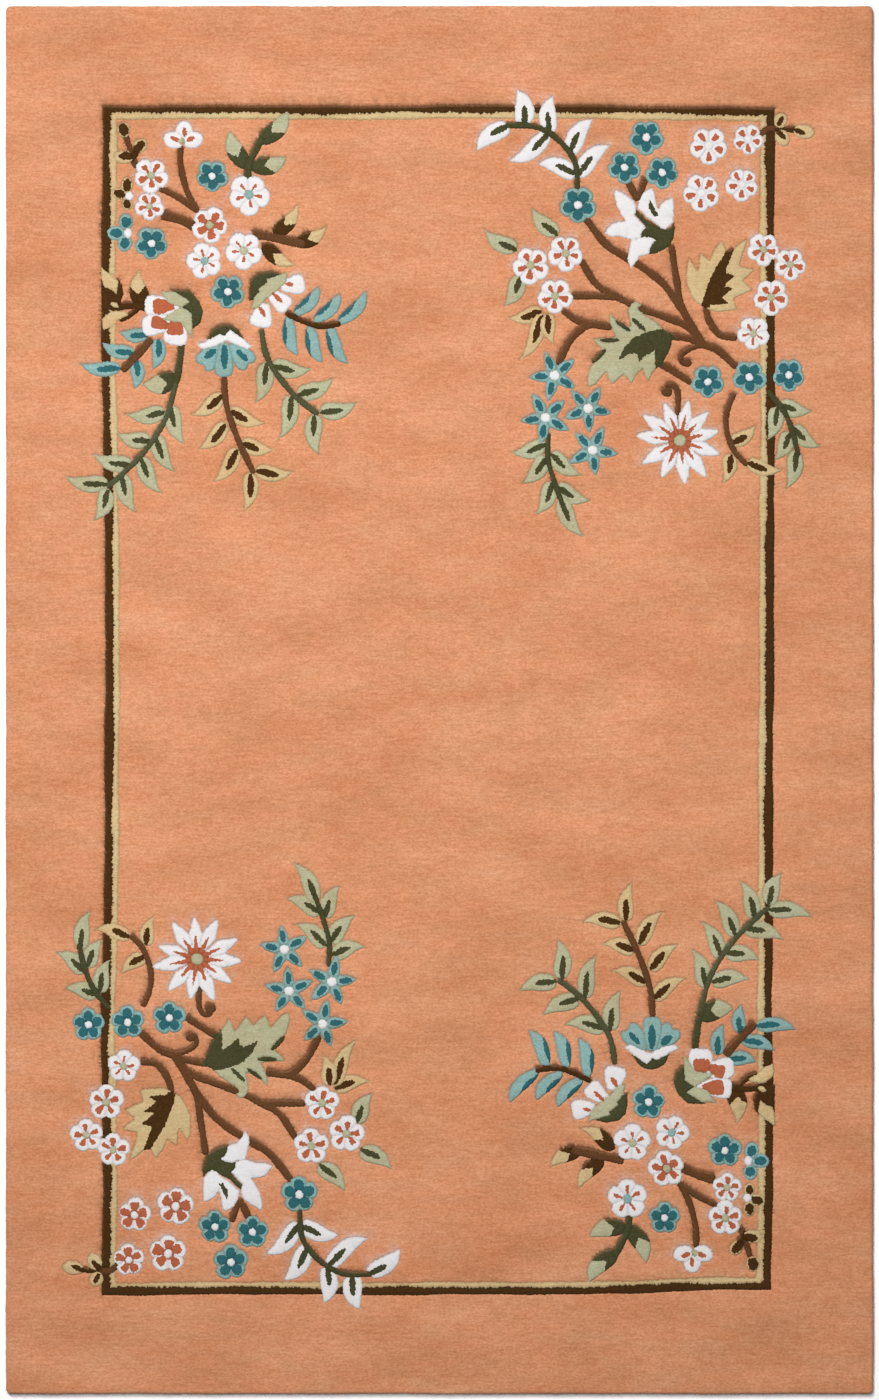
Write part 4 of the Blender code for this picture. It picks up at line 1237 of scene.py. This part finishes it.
# Painted light: the field just below a motif is brightened
lit = np.clip(1 - reach / LIT_REACH, 0, 1) * np.clip(-edge_up, 0, 1) * meets_field
print(int((groove_shade > 0).sum()), "points lie in a groove and", int((frayed > 0.1).sum()), "under stray fibre")

# %% [markdown]
# A material is a small net of shader nodes. One helper adds a node with its settings and links, so that
# each line of a material reads as one step. A second starts a material with what wool, cotton and matt
# paint share: no metal, the same refraction and hardly any mirror gloss. Cloth also gets some sheen, which
# is light caught by the many fine fibre ends.

# %% Helpers for materials
def node(tree, kind, links=None, **settings):
    """A new shader node. Settings are its properties, and links give its sockets a value or a source."""
    made = tree.nodes.new(kind)
    for name, value in settings.items():
        setattr(made, name, value)
    for socket, source in (links or {}).items():
        target = made.inputs[socket]
        if isinstance(source, bpy.types.NodeSocket):
            tree.links.new(source, target)
        else:
            target.default_value = source
    return made


# Wool, cotton and paint all refract about as much as glass
IOR = 1.5
GLOSS = 0.08
SHEEN_ROUGHNESS = 0.6


def new_material(name, roughness, sheen):
    """A new matt material with its node tree and its shader."""
    material = bpy.data.materials.new(name)
    material.use_nodes = True
    shader = material.node_tree.nodes["Principled BSDF"]
    shader.inputs["Roughness"].default_value = roughness
    shader.inputs["Sheen Weight"].default_value = sheen
    shader.inputs["Sheen Roughness"].default_value = SHEEN_ROUGHNESS
    shader.inputs["IOR"].default_value = IOR
    shader.inputs["Specular IOR Level"].default_value = GLOSS
    return material, material.node_tree, shader


print("an IOR of", IOR, "for every finish")

# %% [markdown]
# Wool pile is thousands of cut fibre ends, so it is fully matt with a soft sheen at a glancing angle. Four
# things give it life from a distance. Each knot takes the dye a little differently, which is the fine
# grain. Each row of knots is tied from its own length of yarn, which gives long low streaks. Each bundle
# of wool comes out of the dye bath a little warmer or cooler, which gives patches. And the pile leans
# more here and less there, which gives broad clouds of light and shade. A groove looks darker, because
# the light can't reach down between the tufts. Single fibres are finer than a pixel from here, so noise
# of the right sizes does what strands of hair would do.

# %% Wool pile
# Each pattern's length along the row and its height up the rug, in millimetres. A knot is 2.6 mm, and the
# grain is drawn one and a half knots long, a little coarser than life, so that it shows in the picture.
GRAIN_SIZE = (4.1, 2.7)
STREAK_SIZE = (28.0, 4.2)
DYE_SIZE = (85.0, 30.0)
CLOUD_SIZE = (220.0, 80.0)
# White wool scatters so much light that its grain hardly shows
GRAIN_AMOUNT = {"field": 0.2, "white": 0.05, "dark_brown": 0.3, "stem_brown": 0.25, "olive": 0.25}
STREAK_AMOUNT = {"field": 0.085, "white": 0.02}
CLOUD_AMOUNT = {"field": 0.145, "white": 0.02}
# The same for a yarn that isn't in the tables above
USUAL_GRAIN = 0.15
USUAL_STREAK = 0.06
USUAL_CLOUD = 0.08
# Light that goes deep among dyed fibres loses its blue first and its red last
FIBRE_SHADE = (0.75, 1.1, 1.5)
# How far a warmer and a cooler dye patch depart from the yarn's colour in red, green and blue
WARM_DYE = (0.035, -0.02, -0.04, 0.0)
COOL_DYE = (-0.02, 0.02, 0.05, 0.0)
# White wool isn't dyed, so its patches are faint
UNDYED = 0.2
# The share of light that comes back from the bottom of a groove
GROOVE_LIGHT = 0.62
# How far the ends of the tufts rise and fall, in metres
TUFT_HEIGHT = 0.0009


def wool_pile(yarn):
    """Cut wool pile in one yarn: matt, with grain, streaks, dye patches and darker grooves."""
    material, tree, shader = new_material(f"wool_pile_{yarn}", roughness=0.95, sheen=0.04)
    place = node(tree, "ShaderNodeTexCoord").outputs["Object"]

    def noise(size, detail):
        length, height = [1 / (side * MM) for side in size]
        scaled = node(tree, "ShaderNodeMapping", {"Vector": place, "Scale": (length, height, height)})
        made = node(tree, "ShaderNodeTexNoise", {
            "Vector": scaled.outputs[0], "Scale": 1.0, "Detail": detail, "Roughness": 0.6})
        return made.outputs[0]

    def varied(colour, source, amount):
        """The colour made deeper and paler by the noise, as FIBRE_SHADE says for each channel."""
        deep, pale = [[1 + sign * amount * part for part in FIBRE_SHADE] for sign in (-1, 1)]
        span = node(tree, "ShaderNodeMapRange", {"Value": source, "From Min": 0.3, "From Max": 0.7})
        factor = node(tree, "ShaderNodeMix", {0: span.outputs[0], 4: deep, 5: pale}, data_type="VECTOR")
        made = node(tree, "ShaderNodeVectorMath", {0: colour, 1: factor.outputs[1]}, operation="MULTIPLY")
        return made.outputs[0]

    grain = noise(GRAIN_SIZE, 2.0)
    plain = linear(YARNS[yarn])
    strength = UNDYED if yarn == "white" else 1.0
    warm, cool = [
        tuple(channel * (1 + strength * part) for channel, part in zip(plain, parts))
        for parts in (WARM_DYE, COOL_DYE)]
    bath = node(tree, "ShaderNodeMapRange", {
        "Value": noise(DYE_SIZE, 3.0), "From Min": 0.35, "From Max": 0.65})
    dyed = node(tree, "ShaderNodeMix", {0: bath.outputs[0], 6: warm, 7: cool}, data_type="RGBA").outputs[2]
    # Stray fibre of a neighbouring yarn, heathered sage and painted light below a motif, as the points of the
    # mesh tell
    tint = node(tree, "ShaderNodeAttribute", attribute_name="tint")
    dyed = node(tree, "ShaderNodeMix", {
        0: tint.outputs["Alpha"], 6: dyed, 7: tint.outputs["Color"]}, data_type="RGBA").outputs[2]
    colour = varied(dyed, grain, GRAIN_AMOUNT.get(yarn, USUAL_GRAIN))
    colour = varied(colour, noise(STREAK_SIZE, 1.0), STREAK_AMOUNT.get(yarn, USUAL_STREAK))
    colour = varied(colour, noise(CLOUD_SIZE, 4.0), CLOUD_AMOUNT.get(yarn, USUAL_CLOUD))
    # The painted groove shade darkens the colour, down to GROOVE_LIGHT at the bottom of a groove
    carved = node(tree, "ShaderNodeAttribute", attribute_name="groove_shade").outputs["Fac"]
    shade = node(tree, "ShaderNodeMapRange", {
        "Value": carved, "From Min": 0.0, "From Max": 1.0, "To Min": 1.0, "To Max": GROOVE_LIGHT})
    colour = node(tree, "ShaderNodeVectorMath", {0: colour, "Scale": shade.outputs[0]}, operation="SCALE")
    tree.links.new(colour.outputs[0], shader.inputs["Base Color"])
    bump = node(tree, "ShaderNodeBump", {"Height": grain, "Strength": 0.5, "Distance": TUFT_HEIGHT})
    tree.links.new(bump.outputs[0], shader.inputs["Normal"])
    return material


print("a knot is", KNOT, "mm, and the grain", GRAIN_SIZE[0], "by", GRAIN_SIZE[1], "mm")

# %% [markdown]
# Meshes of this size are made from arrays, which is far quicker than adding points one by one. The painted
# groove shade and the tint travel with the points as attributes, so the material can read them.

# %% Make a mesh from arrays
def make_piece(name, points, faces, material, values=None, colours=None):
    """A smooth mesh in metres, with point values for the material."""
    mesh = bpy.data.meshes.new(name)
    mesh.vertices.add(len(points))
    mesh.vertices.foreach_set("co", (np.asarray(points) * MM).astype(np.float32).ravel())
    sizes = np.array([len(face) for face in faces], np.int32)
    corners = np.concatenate([np.asarray(face) for face in faces]).astype(np.int32)
    mesh.loops.add(len(corners))
    mesh.loops.foreach_set("vertex_index", corners)
    mesh.polygons.add(len(faces))
    mesh.polygons.foreach_set("loop_start", np.concatenate([[0], np.cumsum(sizes)[:-1]]).astype(np.int32))
    mesh.update(calc_edges=True)
    mesh.shade_smooth()
    if values is not None:
        groove_shade_layer = mesh.attributes.new("groove_shade", "FLOAT", "POINT")
        groove_shade_layer.data.foreach_set("value", values.astype(np.float32))
    if colours is not None:
        tint_layer = mesh.attributes.new("tint", "FLOAT_COLOR", "POINT")
        tint_layer.data.foreach_set("color", colours.astype(np.float32).ravel())
    mesh.materials.append(material)
    piece = bpy.data.objects.new(name, mesh)
    bpy.context.scene.collection.objects.link(piece)
    return piece


print("made so far:", len(bpy.data.materials), "materials and", len(top), "points of the top face")

# %% [markdown]
# A point's tint is a colour and how much of it there is. On the field it is the stray fibre of the motif
# below it, or painted light on the field just below a motif. On a motif it is the field's fibre along its
# upper edge, or the sage that is spun into a heathered stem.

# %% Tint of each point
# The colour of stray fibre as shares of the motif's yarn and of the field's, then the gain of the painted
# light below a motif
STRAY_COLOUR = (0.8, 0.05)
PAINTED_LIGHT_GAIN = 1.22
# The most that each takes over
STRAY_MOST = 0.85
PAINTED_LIGHT_MOST = 0.8
BLEND_MOST = 0.45

linear_yarns = np.array([linear(colour)[:3] for colour in YARNS.values()])
field_tone = linear_yarns[yarn_names.index("field")]
stray = linear_yarns[neighbour] * STRAY_COLOUR[0] + field_tone * STRAY_COLOUR[1]
tint_colour = np.where((frayed > lit)[:, None], stray, field_tone * PAINTED_LIGHT_GAIN)
tint_share = np.where(frayed > lit, STRAY_MOST * frayed ** 1.1, PAINTED_LIGHT_MOST * lit)
field_tint = np.concatenate([tint_colour, tint_share[:, None]], axis=1)
heather = np.zeros(len(top))
np.maximum.at(heather, triangles, heather_of[:, None])
motif_colour = np.where((heather > 0)[:, None], linear_yarns[yarn_names.index("sage")], field_tone)
motif_tint = np.concatenate([motif_colour, np.maximum(BLEND_MOST * blended, heather)[:, None]], axis=1)
print(int((heather > 0).sum()), "points in heathered yarn")

# %% [markdown]
# Each yarn's triangles become a mesh of their own. One mesh with ten materials would look the same, but
# this way a yarn can be dyed anew or taken out by itself. The field's mesh also gets the rug's edge: rings
# of points that lead from the top face in a rounded step down to the foundation, roughened a little as
# cut wool is.

# %% One mesh of pile for each yarn
# Inset and height of each ring of the edge, in millimetres. The first is the rim of the top face.
RIM_RINGS = ((RIM_INSET, None), (4.2, 11.9), (2.0, 11.0), (0.5, 8.6), (0.0, 5.8), (0.3, FOUNDATION_HEIGHT))
RIM_ROUGHNESS = 0.22
RIM_UNEVENNESS = 0.15

top_points = np.concatenate([top, (FIELD_HEIGHT + height)[:, None]], axis=1)
pieces = {}
for index, yarn in enumerate(yarn_names):
    own = triangles[yarn_of == index]
    used, faces = np.unique(own, return_inverse=True)
    points, faces = top_points[used], [tuple(face) for face in faces.reshape(-1, 3)]
    groove_shade_values, tints = groove_shade[used], (field_tint if yarn == "field" else motif_tint)[used]
    if yarn == "field":
        # The pile's edge: rings of points from the top face down to the foundation
        rank = {int(vertex): place for place, vertex in enumerate(used)}
        above = [rank[index] for index in range(len(rim))]
        for inset, ring_height in RIM_RINGS[1:]:
            ring = rug_outline(inset)
            rough = draw.normal(0, RIM_ROUGHNESS, (len(ring), 2))
            level = ring_height + draw.normal(0, RIM_UNEVENNESS, len(ring))
            below = list(range(len(points), len(points) + len(ring)))
            points = np.vstack([points, np.column_stack([ring + rough, level])])
            next_above, next_below = above[1:] + above[:1], below[1:] + below[:1]
            faces += zip(above, below, next_below, next_above)
            above = below
        added = len(points) - len(used)
        groove_shade_values = np.concatenate([groove_shade_values, np.zeros(added)])
        tints = np.vstack([tints, np.zeros((added, 4))])
    pieces[yarn] = make_piece(f"pile_{yarn}", points, faces, wool_pile(yarn), groove_shade_values, tints)
    print(pieces[yarn].name, len(faces), "faces")

# %% [markdown]
# Under the pile is the foundation: cotton warps, with each row of knots packed down on them. From behind
# it is a flat grid of small knots in the pile's own yarn, with a little cotton showing between the rows.
# A brick pattern of one knot's size draws them, because they are too small and too many for a mesh.

# %% Foundation and back
# The cotton's share of a knot's width, and how much deeper every other knot is
COTTON_GAP = 0.10
DEEP_KNOT = 0.86
# A knot's height on the back, in metres
KNOT_HEIGHT = 0.0006
BACK_INSET_TOP = 0.4
BACK_INSET_FOOT = 0.9
BACK_OVERLAP = 0.3


def knotted_back():
    """The woven back: rows of yarn knots over cotton."""
    material, tree, shader = new_material("knotted_back", roughness=0.9, sheen=0.08)
    place = node(tree, "ShaderNodeTexCoord").outputs["Object"]
    scaled = node(tree, "ShaderNodeMapping", {"Vector": place, "Scale": (1 / (KNOT * MM),) * 3})
    plain = linear(YARNS["field"])
    deep = (*[channel * DEEP_KNOT for channel in plain[:3]], 1.0)
    rows = node(tree, "ShaderNodeTexBrick", {
        "Vector": scaled.outputs[0], "Color1": plain, "Color2": deep, "Mortar": linear(COTTON),
        "Scale": 1.0, "Mortar Size": COTTON_GAP, "Mortar Smooth": 0.4, "Brick Width": 1.0, "Row Height": 1.0})
    soft = node(tree, "ShaderNodeTexNoise", {"Vector": place, "Scale": 9.0, "Detail": 3.0})
    tone = node(tree, "ShaderNodeMapRange", {"Value": soft.outputs[0], "To Min": 0.9, "To Max": 1.1})
    colour = node(
        tree, "ShaderNodeVectorMath", {0: rows.outputs["Color"], "Scale": tone.outputs[0]}, operation="SCALE")
    tree.links.new(colour.outputs[0], shader.inputs["Base Color"])
    bump = node(tree, "ShaderNodeBump", {
        "Height": rows.outputs["Fac"], "Strength": 0.6, "Distance": KNOT_HEIGHT})
    bump.invert = True
    tree.links.new(bump.outputs[0], shader.inputs["Normal"])
    return material


foot = rug_outline(BACK_INSET_FOOT)
head = rug_outline(BACK_INSET_TOP)
count = len(foot)
back_points = np.vstack([
    np.column_stack([head, np.full(count, FOUNDATION_HEIGHT + BACK_OVERLAP)]),
    np.column_stack([foot, np.zeros(count)])])
sides = [(i, count + i, count + (i + 1) % count, (i + 1) % count) for i in range(count)]
underside = tuple(count + i for i in reversed(range(count)))
pieces["back"] = make_piece("knotted_back", back_points, [*sides, underside], knotted_back())
print("back", len(sides) + 1, "faces")

# %% [markdown]
# The pieces belong to the imported rug: they ride on its one body and stand for its one solid, which is
# hidden.

# %% Join the pieces to the rug
SLOTS = {yarn: f"{yarn}_wool" for yarn in yarn_names}
SLOTS["back"] = "cotton_foundation"
for name, piece in pieces.items():
    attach(piece, "root")
    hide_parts("rug")
print(len(pieces), "pieces ride on the rug")

# %% [markdown]
# The setting is a plain floor in matt white paint, which gives the eye nothing but a hardly visible
# unevenness of the coat. One face is enough for it. The rug lies on it as one sheet of cloth.

# %% Floor
def white_floor():
    """Matt white paint with a faint unevenness."""
    material, tree, shader = new_material("white_floor", roughness=0.8, sheen=0.0)
    soft = node(tree, "ShaderNodeTexNoise", {"Scale": 3.0, "Detail": 2.0})
    tone = node(tree, "ShaderNodeMapRange", {"Value": soft.outputs[0], "To Min": 0.99, "To Max": 1.0})
    colour = node(
        tree, "ShaderNodeVectorMath", {0: linear(FLOOR)[:3], "Scale": tone.outputs[0]}, operation="SCALE")
    tree.links.new(colour.outputs[0], shader.inputs["Base Color"])
    return material


# The floor's half width, and how far it lies below the rug so that the two don't flicker, in millimetres
FLOOR_HALF = 6000.0
FLOOR_GAP = 0.2
floor_corners = [
    (FLOOR_HALF * x, FLOOR_HALF * y, -FLOOR_GAP) for x, y in ((-1, -1), (1, -1), (1, 1), (-1, 1))]
floor = make_piece("floor", floor_corners, [(0, 1, 2, 3)], white_floor())
print("floor", 2 * FLOOR_HALF * MM, "m wide")

# %% [markdown]
# The light is that of a plain studio. A key soft box stands high beyond the head of the rug and a little
# to its left, so the slopes of the carving that face it catch the light and the tone falls off toward the
# foot. A second one close overhead brightens the middle a little, and an even pale sky fills the shade.

# %% Light
def soft_box(name, location, aim, size, energy):
    """A square area light that faces a point."""
    data = bpy.data.lights.new(name, "AREA")
    data.size = size
    data.energy = energy
    box = bpy.data.objects.new(name, data)
    box.location = location
    box.rotation_euler = (Vector(aim) - Vector(location)).to_track_quat("-Z", "Y").to_euler()
    box.visible_camera = False
    bpy.context.scene.collection.objects.link(box)


# Places and sizes in metres, strength in watts
soft_box("key", (-3.0, 6.0, 8.0), (0, 0, 0), 2.2, 760)
soft_box("overhead", (-0.3, 0.35, 3.1), (-0.3, 0.3, 0), 1.5, 70)

world = bpy.data.worlds.new("pale_sky")
world.use_nodes = True
world.node_tree.nodes["Background"].inputs["Color"].default_value = (1.0, 1.0, 1.0, 1.0)
world.node_tree.nodes["Background"].inputs["Strength"].default_value = 0.19
bpy.context.scene.world = world

# Yarn colours are matched to a colour card, so the picture is shown without a film curve
bpy.context.scene.view_settings.view_transform = "Standard"
print(len(bpy.data.lights), "lights and a pale sky")

# %% [markdown]
# The camera looks straight down from high up, so that the rug's sides stay parallel. Its lens is worked
# out from its height over the pile and from the length of floor that the picture shows, which is the rug
# and a narrow edge around it.

# %% Camera
CAMERA_HEIGHT = 6.8
SENSOR = 36.0
VIEW_LENGTH = 2456.8 * MM
camera_data = bpy.data.cameras.new("overhead")
camera_data.sensor_width = SENSOR
camera_data.lens = SENSOR * (CAMERA_HEIGHT - FIELD_HEIGHT * MM) / VIEW_LENGTH
camera = bpy.data.objects.new("overhead", camera_data)
camera.location = (0, 0, CAMERA_HEIGHT)
bpy.context.scene.collection.objects.link(camera)
bpy.context.scene.camera = camera
print("lens", round(camera_data.lens, 1), "mm at", CAMERA_HEIGHT, "m")
